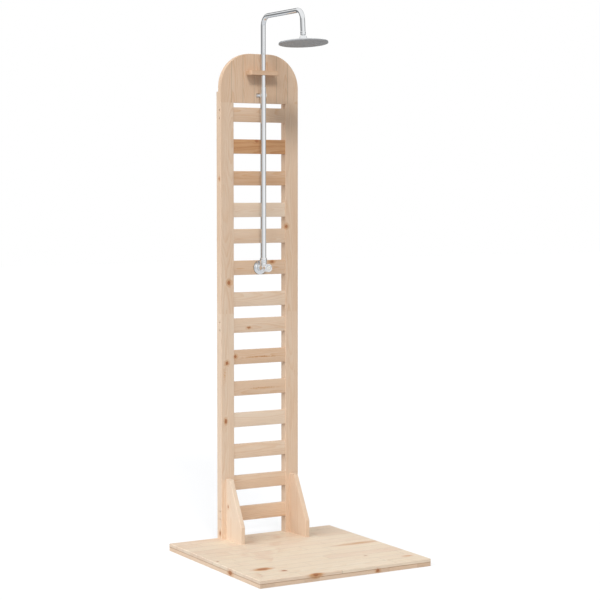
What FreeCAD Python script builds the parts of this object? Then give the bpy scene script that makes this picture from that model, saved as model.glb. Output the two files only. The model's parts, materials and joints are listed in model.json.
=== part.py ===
"""Outdoor shower post: a slatted wooden tower on a square tray, with a chrome riser, a
swivelling arm and an overhead rain head on a ball joint.

Millimetres, +Z up. The origin is the middle of the tray's underside, +X runs to the right
along the tray's front edge and +Y to the back, where the tower stands.
"""
import FreeCAD
import Part
import Sketcher
import math
import os

SIZES = {
    # tray: an edge-glued board on battens
    "tray_width": 775.0,
    "tray_depth": 780.0,
    "deck_thickness": 15.0,
    "batten_height": 15.0,
    "batten_width": 64.5,
    "left_batten_shift": 26.5,
    "right_batten_shift": 15.5,
    "filler_width": 20.0,
    "deck_arris": 2.0,
    # tower frame
    "tower_offset": 21.0,
    "tower_width": 370.0,
    "post_width": 61.0,
    "post_depth": 39.0,
    "post_arris": 1.5,
    "lower_shoulder": 978.0,
    "upper_shoulder": 1858.5,
    "lap_length": 45.0,
    "lap_front": 23.0,
    # slats
    "top_slat": 1809.3,
    "slat_pitch": 132.65,
    "slat_short_pitch": 110.0,
    "slat_height": 60.0,
    "slat_thickness": 19.0,
    "slat_recess": 3.0,
    "slat_arris": 1.2,
    "tenon_height": 50.0,
    "tenon_thickness": 9.0,
    "tenon_length": 12.0,
    "mortise_clearance": 0.2,
    # arched head panel
    "arch_top": 2064.0,
    "arch_radius": 124.0,
    "arch_arris": 1.5,
    # wedges at the foot
    "wedge_thickness": 19.0,
    "wedge_depth": 134.0,
    "wedge_height": 255.0,
    "wedge_flat": 34.0,
    "wedge_nose": 70.0,
    "wedge_arris": 1.5,
    # pipe shelf
    "shelf_width": 130.0,
    "shelf_depth": 50.0,
    "shelf_thickness": 18.0,
    "shelf_level": 1974.0,
    "shelf_hole_clearance": 0.5,
    "shelf_corner": 4.0,
    # wood screws
    "screw_clearance": 0.1,
    "bore_extra": 1.0,
    "edge_screw_radius": 2.5,
    "edge_screw_length": 60.0,
    "edge_screw_head_radius": 4.0,
    "edge_screw_head": 3.0,
    "edge_screw_sink": 20.0,
    "edge_screw_spread": 16.5,
    "long_screw_radius": 2.5,
    "long_screw_length": 70.0,
    "long_screw_head_radius": 4.5,
    "long_screw_head": 3.0,
    "foot_screw_step": 9.5,
    "foot_screw_shift": 12.0,
    "wedge_screw_low": 75.0,
    "wedge_screw_high": 205.0,
    "joint_screw_radius": 2.0,
    "joint_screw_length": 25.0,
    "joint_screw_head_radius": 4.0,
    "joint_screw_head": 2.5,
    "lap_screw_spread": 11.0,
    "deck_screw_place": 330.0,
    "shelf_screw_radius": 2.0,
    "shelf_screw_length": 45.0,
    "shelf_screw_head_radius": 4.0,
    "shelf_screw_head": 2.5,
    "shelf_screw_spread": 42.0,
    "screw_sink": 0.5,
    # riser and arm
    "riser_stand_off": 30.0,
    "riser_radius": 12.0,
    "riser_top": 1923.0,
    "riser_clearance": 0.05,
    "arm_radius": 10.0,
    "arm_wall": 1.5,
    "arm_insertion": 90.0,
    "arm_bend": 42.0,
    "arm_height": 2218.0,
    "arm_run": 242.0,
    "arm_drop": 50.0,
    "drop_lean": 4.5,
    "ring_groove_depth": 0.9,
    "ring_groove_width": 1.6,
    "ring_slack": 0.05,
    "ring_first": 12.0,
    "ring_pitch": 16.0,
    # pipe clip
    "clip_level": 1891.0,
    "clip_plate_width": 40.0,
    "clip_plate_height": 16.0,
    "clip_plate": 3.0,
    "clip_corner": 3.0,
    "clip_stub_radius": 6.5,
    "clip_wall": 1.9,
    "clip_jaw_height": 12.0,
    "clip_jaw_reach": 4.0,
    "clip_clearance": 0.1,
    "clip_screw_spread": 14.0,
    "clip_screw_radius": 1.5,
    "clip_screw_length": 16.0,
    "clip_screw_head_radius": 3.0,
    "clip_screw_head": 1.8,
    # valve
    "valve_slat": 6,
    "shank_radius": 12.0,
    "shank_clearance": 0.5,
    "nut_clearance": 0.05,
    "inlet_radius": 10.48,
    "inlet_length": 10.0,
    "inlet_margin": 0.5,
    "water_way": 7.0,
    "back_nut_flats": 32.0,
    "back_nut_thickness": 6.0,
    "rosette_radius": 29.0,
    "rosette_thickness": 6.0,
    "rosette_rim": 1.5,
    "rosette_dome": 40.0,
    "valve_radius": 15.0,
    "valve_front": 42.0,
    "chamber_radius": 11.5,
    "chamber_depth": 21.0,
    "chamber_clearance": 0.1,
    "outlet_radius": 14.5,
    "outlet_height": 21.2,
    "outlet_bore": 9.0,
    "socket_depth": 4.0,
    "riser_nut_radius": 15.0,
    "riser_nut_height": 21.0,
    "riser_nut_chamfer": 1.5,
    "cartridge_length": 24.0,
    "bonnet_radius": 13.5,
    "bonnet_length": 10.0,
    "bonnet_lip": 6.0,
    "bonnet_bore": 4.5,
    "spindle_radius": 4.0,
    "spindle_depth": 17.0,
    "spindle_clearance": 0.05,
    "knob_radius": 17.0,
    "knob_waist": 14.5,
    "knob_length": 20.5,
    "knob_gap": 1.5,
    "knob_round": 2.5,
    "knob_seat": 9.5,
    "knob_screw_radius": 1.7,
    "knob_screw_length": 12.0,
    "knob_screw_head_radius": 3.5,
    "knob_screw_head": 2.5,
    "cap_radius": 9.0,
    "cap_thickness": 2.0,
    "cap_sink": 0.2,
    "cap_clearance": 0.1,
    # ball joint
    "ball_radius": 8.0,
    "neck_radius": 4.0,
    "stem_bore": 2.5,
    "stem_nut_radius": 11.0,
    "stem_nut_place": 11.3,
    "stem_nut_height": 14.0,
    "stem_nut_chamfer": 1.2,
    "spigot_length": 13.0,
    "spigot_clearance": 0.3,
    "slip_ring_wall": 0.95,
    "ball_seal_wall": 1.1,
    "ball_clearance": 0.05,
    "cup_clearance": 0.3,
    "ring_opening": 46.0,
    "ring_foot": 125.0,
    # rain head
    "head_radius": 100.0,
    "head_rim_top": 15.0,
    "head_rim_bottom": 24.0,
    "head_wall": 2.0,
    "head_shoulder": 6.5,
    "head_dome": 480.0,
    "boss_radius": 13.0,
    "cup_floor": 2.0,
    "cup_bore": 4.0,
    "collar_radius": 15.5,
    "collar_top_radius": 12.0,
    "collar_top": 8.0,
    "collar_foot": 6.0,
    "plate_thickness": 1.2,
    "plate_clearance": 0.1,
    "mat_thickness": 1.5,
    "mat_inset": 3.0,
    "nozzle_radius": 1.5,
    "nozzle_length": 2.7,
    "nozzle_clearance": 0.1,
    "nozzle_pitch": 21.0,
}

SLAT_COUNT = 14
SCREWED_SLATS = (1, 8, 14)
LONG_PITCH_BREAKS = (4, 7)
BATTENS = 4
NOZZLE_RINGS = 4
NOZZLES_IN_FIRST_RING = 6

doc = FreeCAD.newDocument("shower_post")
sheet = doc.addObject("Spreadsheet::Sheet", "Sizes")
subparts = []


# ---------------------------------------------------------------- sizes and formulas

class Size:
    """A number together with the sheet formula that gives it."""

    def __init__(self, value, formula):
        self.value = float(value)
        self.formula = formula

    def __add__(self, other):
        other = as_size(other)
        return Size(self.value + other.value, f"({self.formula} + {other.formula})")

    def __sub__(self, other):
        other = as_size(other)
        return Size(self.value - other.value, f"({self.formula} - {other.formula})")

    def __mul__(self, other):
        other = as_size(other)
        return Size(self.value * other.value, f"({self.formula} * {other.formula})")

    def __truediv__(self, other):
        other = as_size(other)
        return Size(self.value / other.value, f"({self.formula} / {other.formula})")

    def __neg__(self):
        return Size(-self.value, f"(0 - {self.formula})")

    def __radd__(self, other):
        return as_size(other) + self

    def __rsub__(self, other):
        return as_size(other) - self

    def __rmul__(self, other):
        return as_size(other) * self


def as_size(thing):
    if isinstance(thing, Size):
        return thing
    if thing < 0:
        return Size(thing, f"(0 - {-thing})")
    return Size(thing, f"{thing}")


def sine(angle):
    angle = as_size(angle)
    return Size(math.sin(math.radians(angle.value)), f"sin({angle.formula} * 1 deg)")


def cosine(angle):
    angle = as_size(angle)
    return Size(math.cos(math.radians(angle.value)), f"cos({angle.formula} * 1 deg)")


def root(square):
    return Size(math.sqrt(square.value), f"sqrt({square.formula})")


class Sizes:
    """Each driving size by its name, tied to its cell of the sheet."""


for row, (name, value) in enumerate(SIZES.items(), start=1):
    sheet.set(f"A{row}", name)
    sheet.set(f"B{row}", str(value))
    sheet.setAlias(f"B{row}", name)
    setattr(Sizes, name, Size(value, f"Sizes.{name}"))
doc.recompute()
S = Sizes


# ---------------------------------------------------------------- modelling helpers

def bind(thing, prop, size):
    thing.setExpression(prop, as_size(size).formula)


def new_body(name, x=0, y=0, z=0):
    """A body whose own origin lies at x, y, z; it becomes a sub-part."""
    body = doc.addObject("PartDesign::Body", name)
    body.Label = name
    for axis, place in zip("xyz", (x, y, z)):
        bind(body, f"Placement.Base.{axis}", place)
    subparts.append(body)
    return body


def new_sketch(body, role, height=0):
    """A sketch on one of the body's own planes, height above it along the plane's normal,
    which is +Z for XY_Plane, -Y for XZ_Plane and +X for YZ_Plane."""
    plane = next(item for item in body.Origin.OriginFeatures if item.Role == role)
    sketch = body.newObject("Sketcher::SketchObject", f"{body.Name}_sketch")
    sketch.AttachmentSupport = [(plane, "")]
    sketch.MapMode = "FlatFace"
    bind(sketch, "AttachmentOffset.Base.z", height)
    return sketch


def hold_point(sketch, curve, point, x, y):
    """Ties one point of a curve to its two distances from the sketch's origin."""
    for kind, place in (("DistanceX", x), ("DistanceY", y)):
        constraint = Sketcher.Constraint(kind, -1, 1, curve, point, as_size(place).value)
        index = sketch.addConstraint(constraint)
        bind(sketch, f"Constraints[{index}]", place)


def hold_radius(sketch, curve, radius):
    index = sketch.addConstraint(Sketcher.Constraint("Radius", curve, as_size(radius).value))
    bind(sketch, f"Constraints[{index}]", radius)


def arc_between(begin, end, radius):
    """The short arc from begin to end: anticlockwise, or clockwise if radius is negative."""
    chord = end - begin
    rise = math.sqrt(max(radius ** 2 - chord.Length ** 2 / 4, 0))
    left = FreeCAD.Vector(-chord.y, chord.x, 0) / chord.Length
    centre = (begin + end) / 2 + left * math.copysign(rise, radius)
    circle_line = Part.Circle(centre, FreeCAD.Vector(0, 0, 1), abs(radius))
    first, last = (begin, end) if radius > 0 else (end, begin)
    start = math.atan2(first.y - centre.y, first.x - centre.x)
    stop = math.atan2(last.y - centre.y, last.x - centre.x)
    if stop < start:
        stop += 2 * math.pi
    return Part.ArcOfCircle(circle_line, start, stop)


def draw_path(sketch, corners, closed=True):
    """Draws lines and arcs through the corners. A corner is (x, y), or (x, y, radius) where
    it is reached by an arc; a negative radius goes round clockwise."""
    points = [FreeCAD.Vector(as_size(item[0]).value, as_size(item[1]).value, 0) for item in corners]
    previous_end = None
    first_start = None
    for index in range(0 if closed else 1, len(corners)):
        corner = corners[index]
        begin = points[index - 1]
        end = points[index]
        if len(corner) == 2:
            curve = sketch.addGeometry(Part.LineSegment(begin, end), False)
            start_point, end_point = 1, 2
        else:
            turn = as_size(corner[2])
            curve = sketch.addGeometry(arc_between(begin, end, turn.value), False)
            start_point, end_point = (1, 2) if turn.value > 0 else (2, 1)
        if previous_end:
            joint = Sketcher.Constraint("Coincident", *previous_end, curve, start_point)
            sketch.addConstraint(joint)
        else:
            first_start = (curve, start_point)
        hold_point(sketch, curve, start_point, corners[index - 1][0], corners[index - 1][1])
        if len(corner) == 3:
            hold_radius(sketch, curve, turn if turn.value > 0 else -turn)
        previous_end = (curve, end_point)
    if closed:
        sketch.addConstraint(Sketcher.Constraint("Coincident", *previous_end, *first_start))
    else:
        hold_point(sketch, *previous_end, corners[-1][0], corners[-1][1])


def draw_rectangle(sketch, left, bottom, right, top):
    draw_path(sketch, [(left, bottom), (right, bottom), (right, top), (left, top)])


def draw_circle(sketch, x, y, radius):
    centre = FreeCAD.Vector(as_size(x).value, as_size(y).value, 0)
    circle_line = Part.Circle(centre, FreeCAD.Vector(0, 0, 1), as_size(radius).value)
    curve = sketch.addGeometry(circle_line, False)
    hold_point(sketch, curve, 3, x, y)
    hold_radius(sketch, curve, radius)


def add_feature(body, kind, sketch):
    feature = body.newObject(f"PartDesign::{kind}", f"{body.Name}_{kind.lower()}")
    feature.Profile = sketch
    return feature


def pad(body, sketch, length, symmetric=False, backwards=False):
    feature = add_feature(body, "Pad", sketch)
    bind(feature, "Length", length)
    feature.SideType = "Symmetric" if symmetric else "One side"
    feature.Reversed = backwards
    doc.recompute()
    return feature


def check_cut(feature, before):
    """Stops if a cut took nothing away, which its feature doesn't report."""
    doc.recompute()
    if feature.Shape.Volume > before - 0.01:
        raise RuntimeError(f"{feature.Label} cuts nothing")


def pocket(body, sketch, depth, forwards=False):
    """Cuts against the sketch's normal, or along it if forwards is set."""
    before = body.Tip.Shape.Volume
    feature = add_feature(body, "Pocket", sketch)
    bind(feature, "Length", depth)
    feature.Reversed = forwards
    check_cut(feature, before)
    return feature


def revolve(body, sketch, axis):
    feature = add_feature(body, "Revolution", sketch)
    feature.ReferenceAxis = (sketch, [axis])
    feature.Angle = 360.0
    doc.recompute()
    return feature


def groove(body, sketch, axis):
    before = body.Tip.Shape.Volume
    feature = add_feature(body, "Groove", sketch)
    feature.ReferenceAxis = (sketch, [axis])
    feature.Angle = 360.0
    check_cut(feature, before)
    return feature


def drill(body, role, height, places, radius, depth, forwards=False):
    """Round holes at the places, from height on, against the plane's normal unless forwards."""
    sketch = new_sketch(body, role, height)
    for x, y in places:
        draw_circle(sketch, x, y, radius)
    return pocket(body, sketch, depth, forwards)


def edges_where(feature, wanted):
    names = []
    for number, edge in enumerate(feature.Shape.Edges, start=1):
        if wanted(edge):
            names.append(f"Edge{number}")
    if not names:
        raise RuntimeError(f"no edge of {feature.Label} was found")
    return names


def dress(body, kind, wanted, size):
    """A chamfer or fillet on the edges of the body's tip that wanted picks."""
    base = body.Tip
    feature = body.newObject(f"PartDesign::{kind}", f"{body.Name}_{kind.lower()}")
    feature.Base = (base, edges_where(base, wanted))
    bind(feature, "Size" if kind == "Chamfer" else "Radius", size)
    doc.recompute()
    return feature


def is_near(number, size):
    return abs(number - as_size(size).value) < 0.01


def runs_along(edge, axis, length=0.0):
    """Whether an edge is straight along an axis and longer than length."""
    box = edge.BoundBox
    spans = {"x": box.XLength, "y": box.YLength, "z": box.ZLength}
    across = [span for name, span in spans.items() if name != axis]
    return max(across) < 0.01 and spans[axis] > length


def screw_row(body, role, height, places, radius, length, head_radius, head, forwards):
    """Screws with their head faces at height, driven along the plane's normal if forwards."""
    for reach, size in ((length, radius), (head, head_radius)):
        sketch = new_sketch(body, role, height)
        for x, y in places:
            draw_circle(sketch, x, y, size)
        pad(body, sketch, reach, backwards=not forwards)


# ---------------------------------------------------------------- shared places

tray_height = S.deck_thickness + S.batten_height
tray_back = S.tray_depth / 2
post_front = tray_back - S.post_depth
lap_face = post_front + S.lap_front
left_outside = S.tower_offset - S.tower_width / 2
right_outside = S.tower_offset + S.tower_width / 2
left_inside = left_outside + S.post_width
right_inside = right_outside - S.post_width
slat_gap = S.tower_width - S.post_width * 2
slat_front = post_front + S.slat_recess
slat_middle = slat_front + S.slat_thickness / 2
slat_back = slat_front + S.slat_thickness
post_middles = (left_outside + S.post_width / 2, right_outside - S.post_width / 2)
riser_y = post_front - S.riser_stand_off


def slat_level(number):
    """The height of a slat's middle; two of the steps between slats are short ones."""
    short_steps = sum(number > place for place in LONG_PITCH_BREAKS)
    long_steps = number - 1 - short_steps
    return S.top_slat - S.slat_pitch * long_steps - S.slat_short_pitch * short_steps


valve_level = slat_level(SIZES["valve_slat"])
# the inner battens lie under the posts
batten_middles = (
    S.batten_width / 2 - S.tray_width / 2,
    post_middles[0] - S.left_batten_shift,
    post_middles[1] - S.right_batten_shift,
    S.tray_width / 2 - S.batten_width / 2,
)
foot_screw_columns = (
    post_middles[0] - S.foot_screw_shift,
    post_middles[1] - S.foot_screw_shift / 2,
)
foot_screw_rows = (
    tray_back - S.post_depth / 2 - S.foot_screw_step,
    tray_back - S.post_depth / 2 + S.foot_screw_step,
)
lap_screw_levels = {
    "lower": (
        S.lower_shoulder + S.lap_length / 2 - S.lap_screw_spread,
        S.lower_shoulder + S.lap_length / 2 + S.lap_screw_spread,
    ),
    "upper": (
        S.upper_shoulder + S.lap_length / 2 - S.lap_screw_spread,
        S.upper_shoulder + S.lap_length / 2 + S.lap_screw_spread,
    ),
}
wedge_screw_levels = (S.wedge_screw_low, S.wedge_screw_high)
head_sunk = tray_back - S.screw_sink


# ---------------------------------------------------------------- tray

def make_deck():
    body = new_body("deck_panel")
    sketch = new_sketch(body, "XY_Plane", S.batten_height)
    draw_rectangle(sketch, -S.tray_width / 2, -tray_back, S.tray_width / 2, tray_back)
    pad(body, sketch, S.deck_thickness)
    drill(body, "XY_Plane", S.batten_height, deck_screw_places(),
          S.joint_screw_radius + S.screw_clearance,
          S.joint_screw_length + S.screw_sink - S.batten_height + S.bore_extra, forwards=True)
    places = [(x, y) for x in foot_screw_columns for y in foot_screw_rows]
    drill(body, "XY_Plane", S.batten_height, places,
          S.long_screw_radius + S.screw_clearance, S.deck_thickness, forwards=True)
    dress(body, "Chamfer", lambda edge: is_near(edge.BoundBox.ZMin, tray_height)
          and edge.Length > SIZES["tray_width"] / 2, S.deck_arris)


def deck_screw_places():
    return [(x, y) for x in batten_middles for y in (-S.deck_screw_place, S.deck_screw_place)]


def make_battens():
    for number, middle in enumerate(batten_middles, start=1):
        body = new_body(f"tray_batten_{number}")
        sketch = new_sketch(body, "XY_Plane")
        draw_rectangle(sketch, middle - S.batten_width / 2, -tray_back,
                       middle + S.batten_width / 2, tray_back)
        pad(body, sketch, S.batten_height)
        places = [place for place in deck_screw_places() if place[0] is middle]
        bore(body, "XY_Plane", 0, places, S.batten_height, "joint", forwards=True)
        if number in (2, 3):
            places = [(foot_screw_columns[number - 2], y) for y in foot_screw_rows]
            bore(body, "XY_Plane", 0, places, S.batten_height, "long", forwards=True)


def bore(body, role, height, places, depth, kind, forwards, sink=S.screw_sink):
    """Clearance holes through depth with a wider mouth that hides the screw heads."""
    radius = getattr(S, f"{kind}_screw_radius")
    head_radius = getattr(S, f"{kind}_screw_head_radius")
    head = getattr(S, f"{kind}_screw_head")
    drill(body, role, height, places, radius + S.screw_clearance, depth, forwards)
    drill(body, role, height, places, head_radius + S.screw_clearance, head + sink, forwards)


def make_fillers():
    """Rails between the battens, which close the tray's front and back edges."""
    for side, outer in (("front", -tray_back), ("back", tray_back - S.filler_width)):
        for number in range(1, BATTENS):
            body = new_body(f"{side}_filler_{number}")
            sketch = new_sketch(body, "XY_Plane")
            draw_rectangle(sketch, batten_middles[number - 1] + S.batten_width / 2, outer,
                           batten_middles[number] - S.batten_width / 2, outer + S.filler_width)
            pad(body, sketch, S.batten_height)


# ---------------------------------------------------------------- posts and arch

def make_lower_post(side, outside, middle, foot_column):
    body = new_body(f"lower_post_{side}")
    sketch = new_sketch(body, "YZ_Plane", middle)
    tongue_top = S.lower_shoulder + S.lap_length
    draw_path(sketch, [
        (post_front, tray_height), (tray_back, tray_height), (tray_back, tongue_top),
        (lap_face, tongue_top), (lap_face, S.lower_shoulder), (post_front, S.lower_shoulder)])
    pad(body, sketch, S.post_width, symmetric=True)
    dress_post(body)
    places = [(foot_column, y) for y in foot_screw_rows]
    depth = S.long_screw_length + S.screw_sink - tray_height + S.bore_extra
    drill(body, "XY_Plane", tray_height, places, S.long_screw_radius + S.screw_clearance,
          depth, forwards=True)
    places = [(middle, level) for level in wedge_screw_levels]
    bore(body, "XZ_Plane", -tray_back, places, S.post_depth, "long", forwards=True)
    places = [(middle, level) for level in lap_screw_levels["lower"]]
    bore(body, "XZ_Plane", -tray_back, places, S.post_depth - S.lap_front, "joint", forwards=True)
    cut_slat_seats(body, side, outside, [8, 9, 10, 11, 12, 13, 14])


def make_upper_post(side, outside, middle):
    body = new_body(f"upper_post_{side}")
    sketch = new_sketch(body, "YZ_Plane", middle)
    lower_tongue = S.lower_shoulder + S.lap_length
    upper_tongue = S.upper_shoulder + S.lap_length
    draw_path(sketch, [
        (post_front, S.lower_shoulder), (lap_face, S.lower_shoulder), (lap_face, lower_tongue),
        (tray_back, lower_tongue), (tray_back, upper_tongue), (lap_face, upper_tongue),
        (lap_face, S.upper_shoulder), (post_front, S.upper_shoulder)])
    pad(body, sketch, S.post_width, symmetric=True)
    dress_post(body)
    places = [(middle, level) for level in lap_screw_levels["lower"]]
    drill_lap_pilots(body, places)
    places = [(middle, level) for level in lap_screw_levels["upper"]]
    bore(body, "XZ_Plane", -tray_back, places, S.post_depth - S.lap_front, "joint", forwards=True)
    cut_slat_seats(body, side, outside, [1, 2, 3, 4, 5, 6, 7])


def drill_lap_pilots(body, places):
    """Pilot holes from the lap face forwards for the screws that come through the tongue."""
    depth = S.joint_screw_length + S.screw_sink - (S.post_depth - S.lap_front) + S.bore_extra
    drill(body, "XZ_Plane", -lap_face, places, S.joint_screw_radius + S.screw_clearance,
          depth, forwards=True)


def dress_post(body):
    dress(body, "Chamfer", lambda edge: runs_along(edge, "z", SIZES["lap_length"] * 2),
          S.post_arris)


def cut_slat_seats(body, side, outside, numbers):
    """Mortises on the inner side, and the long bores of the screwed slats from the outer side."""
    inside = left_inside if side == "left" else right_inside
    sketch = new_sketch(body, "YZ_Plane", inside)
    half_thickness = S.tenon_thickness / 2 + S.mortise_clearance
    half_height = S.tenon_height / 2 + S.mortise_clearance
    for number in numbers:
        if number not in SCREWED_SLATS:
            level = slat_level(number)
            draw_rectangle(sketch, slat_middle - half_thickness, level - half_height,
                           slat_middle + half_thickness, level + half_height)
    pocket(body, sketch, S.tenon_length + S.mortise_clearance, forwards=side == "right")
    places = edge_screw_places([number for number in numbers if number in SCREWED_SLATS])
    bore(body, "YZ_Plane", outside, places, S.post_width, "edge", forwards=side == "left",
         sink=S.edge_screw_sink)


def edge_screw_places(numbers):
    return [(slat_middle, slat_level(number) + S.edge_screw_spread * sign)
            for number in numbers for sign in (1, -1)]


def make_posts():
    sides = zip(("left", "right"), (left_outside, right_outside), post_middles, foot_screw_columns)
    for side, outside, middle, foot_column in sides:
        make_lower_post(side, outside, middle, foot_column)
        make_upper_post(side, outside, middle)


def make_arch():
    body = new_body("arch_panel", x=S.tower_offset)
    half = S.tower_width / 2
    sketch = new_sketch(body, "XZ_Plane", -lap_face)
    draw_path(sketch, [
        (-half, S.upper_shoulder), (half, S.upper_shoulder),
        (half, S.arch_top - S.arch_radius),
        (half - S.arch_radius, S.arch_top, S.arch_radius),
        (S.arch_radius - half, S.arch_top),
        (-half, S.arch_top - S.arch_radius, S.arch_radius)])
    pad(body, sketch, S.lap_front)
    dress(body, "Chamfer", lambda edge: is_near(edge.BoundBox.YMax, post_front)
          and edge.BoundBox.ZMax > SIZES["upper_shoulder"] + 1, S.arch_arris)
    columns = (half - S.post_width / 2, S.post_width / 2 - half)
    drill_lap_pilots(body, [(x, level) for x in columns for level in lap_screw_levels["upper"]])
    shelf_screws = shelf_screw_places()
    bore(body, "XZ_Plane", -lap_face, shelf_screws, S.lap_front, "shelf", forwards=True)
    drill(body, "XZ_Plane", -post_front, clip_screw_places(),
          S.clip_screw_radius + S.screw_clearance,
          S.clip_screw_length - S.clip_plate + S.bore_extra)


# ---------------------------------------------------------------- slats

def make_slats():
    for number in range(1, SLAT_COUNT + 1):
        body = new_body(f"slat_{number:02d}", x=S.tower_offset, y=slat_middle,
                        z=slat_level(number))
        half_thickness = S.slat_thickness / 2
        half_height = S.slat_height / 2
        sketch = new_sketch(body, "YZ_Plane")
        draw_rectangle(sketch, -half_thickness, -half_height, half_thickness, half_height)
        pad(body, sketch, slat_gap, symmetric=True)
        dress(body, "Chamfer", lambda edge: runs_along(edge, "x"), S.slat_arris)
        if number in SCREWED_SLATS:
            drill_slat_ends(body)
        else:
            add_tenons(body)
        if number == SIZES["valve_slat"]:
            drill(body, "XZ_Plane", half_thickness, [(0, 0)],
                  S.shank_radius + S.shank_clearance, S.slat_thickness)


def add_tenons(body):
    sketch = new_sketch(body, "YZ_Plane")
    draw_rectangle(sketch, -S.tenon_thickness / 2, -S.tenon_height / 2,
                   S.tenon_thickness / 2, S.tenon_height / 2)
    pad(body, sketch, slat_gap + S.tenon_length * 2, symmetric=True)


def drill_slat_ends(body):
    depth = S.edge_screw_sink + S.edge_screw_length - S.post_width + S.bore_extra
    places = [(0, S.edge_screw_spread), (0, -S.edge_screw_spread)]
    radius = S.edge_screw_radius + S.screw_clearance
    drill(body, "YZ_Plane", slat_gap / 2, places, radius, depth)
    drill(body, "YZ_Plane", -slat_gap / 2, places, radius, depth, forwards=True)


# ---------------------------------------------------------------- wedges and shelf

def make_wedges():
    for side, middle in zip(("left", "right"), post_middles):
        body = new_body(f"wedge_{side}", x=middle)
        nose = post_front - S.wedge_depth
        top = tray_height + S.wedge_height
        sketch = new_sketch(body, "YZ_Plane")
        draw_path(sketch, [
            (nose, tray_height), (post_front, tray_height), (post_front, top),
            (post_front - S.wedge_flat, top), (nose, tray_height + S.wedge_nose)])
        pad(body, sketch, S.wedge_thickness, symmetric=True)
        dress(body, "Chamfer", is_outer_wedge_edge, S.wedge_arris)
        depth = S.long_screw_length + S.screw_sink - S.post_depth + S.bore_extra
        places = [(0, level) for level in wedge_screw_levels]
        drill(body, "XZ_Plane", -post_front, places, S.long_screw_radius + S.screw_clearance,
              depth, forwards=True)


def is_outer_wedge_edge(edge):
    """The edges along the nose, the slope and the flat top, on both faces of a wedge."""
    box = edge.BoundBox
    lies_in_face = box.XLength < 0.01
    touches_post = box.YMin > post_front.value - 1
    touches_tray = box.ZMax < tray_height.value + 1
    return lies_in_face and not touches_post and not touches_tray


def shelf_screw_places():
    level = S.shelf_level + S.shelf_thickness / 2
    return [(S.shelf_screw_spread, level), (-S.shelf_screw_spread, level)]


def make_shelf():
    body = new_body("pipe_shelf", x=S.tower_offset)
    sketch = new_sketch(body, "XY_Plane", S.shelf_level)
    draw_rectangle(sketch, -S.shelf_width / 2, post_front - S.shelf_depth,
                   S.shelf_width / 2, post_front)
    pad(body, sketch, S.shelf_thickness)
    dress(body, "Fillet", lambda edge: runs_along(edge, "z")
          and edge.BoundBox.YMax < post_front.value - 1, S.shelf_corner)
    drill(body, "XY_Plane", S.shelf_level, [(0, riser_y)],
          S.arm_radius + S.shelf_hole_clearance, S.shelf_thickness, forwards=True)
    depth = S.shelf_screw_length + S.screw_sink - S.lap_front + S.bore_extra
    drill(body, "XZ_Plane", -post_front, shelf_screw_places(),
          S.shelf_screw_radius + S.screw_clearance, depth, forwards=True)


# ---------------------------------------------------------------- screws

def screw_sizes(kind):
    return [getattr(S, f"{kind}_screw_{word}")
            for word in ("radius", "length", "head_radius", "head")]


def new_screw_body(name):
    body = new_body(name)
    body.AllowCompound = True
    return body


def make_screws():
    places = edge_screw_places(SCREWED_SLATS)
    body = new_screw_body("edge_screws")
    screw_row(body, "YZ_Plane", left_outside + S.edge_screw_sink, places,
              *screw_sizes("edge"), forwards=True)
    screw_row(body, "YZ_Plane", right_outside - S.edge_screw_sink, places,
              *screw_sizes("edge"), forwards=False)

    body = new_screw_body("long_screws")
    places = [(x, y) for x in foot_screw_columns for y in foot_screw_rows]
    screw_row(body, "XY_Plane", S.screw_sink, places, *screw_sizes("long"), forwards=True)
    places = [(x, level) for x in post_middles for level in wedge_screw_levels]
    screw_row(body, "XZ_Plane", -head_sunk, places, *screw_sizes("long"), forwards=True)

    body = new_screw_body("joint_screws")
    screw_row(body, "XY_Plane", S.screw_sink, deck_screw_places(), *screw_sizes("joint"),
              forwards=True)
    places = [(x, level) for x in post_middles
              for level in lap_screw_levels["lower"] + lap_screw_levels["upper"]]
    screw_row(body, "XZ_Plane", -head_sunk, places, *screw_sizes("joint"), forwards=True)

    body = new_screw_body("shelf_screws")
    places = [(x + S.tower_offset, level) for x, level in shelf_screw_places()]
    screw_row(body, "XZ_Plane", S.screw_sink - lap_face, places, *screw_sizes("shelf"),
              forwards=True)

    body = new_screw_body("clip_screws")
    places = [(x + S.tower_offset, level) for x, level in clip_screw_places()]
    plate_front = post_front - S.clip_plate
    sketch = new_sketch(body, "XZ_Plane", -plate_front)
    for x, level in places:
        draw_circle(sketch, x, level, S.clip_screw_radius)
    pad(body, sketch, S.clip_screw_length, backwards=True)
    sketch = new_sketch(body, "XZ_Plane", -plate_front)
    for x, level in places:
        draw_circle(sketch, x, level, S.clip_screw_head_radius)
    pad(body, sketch, S.clip_screw_head)


# ---------------------------------------------------------------- riser, clip and arm

def make_riser():
    body = new_body("riser_tube", x=S.tower_offset, y=riser_y)
    foot = valve_level + S.outlet_height - S.socket_depth
    sketch = new_sketch(body, "XZ_Plane")
    draw_rectangle(sketch, S.arm_radius + S.riser_clearance, foot, S.riser_radius, S.riser_top)
    revolve(body, sketch, "V_Axis")

    body = new_body("riser_nut", x=S.tower_offset, y=riser_y)
    foot = valve_level + S.outlet_height
    top = foot + S.riser_nut_height
    inner = S.riser_radius + S.nut_clearance
    sketch = new_sketch(body, "XZ_Plane")
    draw_path(sketch, [
        (inner, foot), (S.riser_nut_radius - S.riser_nut_chamfer, foot),
        (S.riser_nut_radius, foot + S.riser_nut_chamfer),
        (S.riser_nut_radius, top - S.riser_nut_chamfer),
        (S.riser_nut_radius - S.riser_nut_chamfer, top), (inner, top)])
    revolve(body, sketch, "V_Axis")


def clip_screw_places():
    return [(S.clip_screw_spread, S.clip_level), (-S.clip_screw_spread, S.clip_level)]


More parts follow.
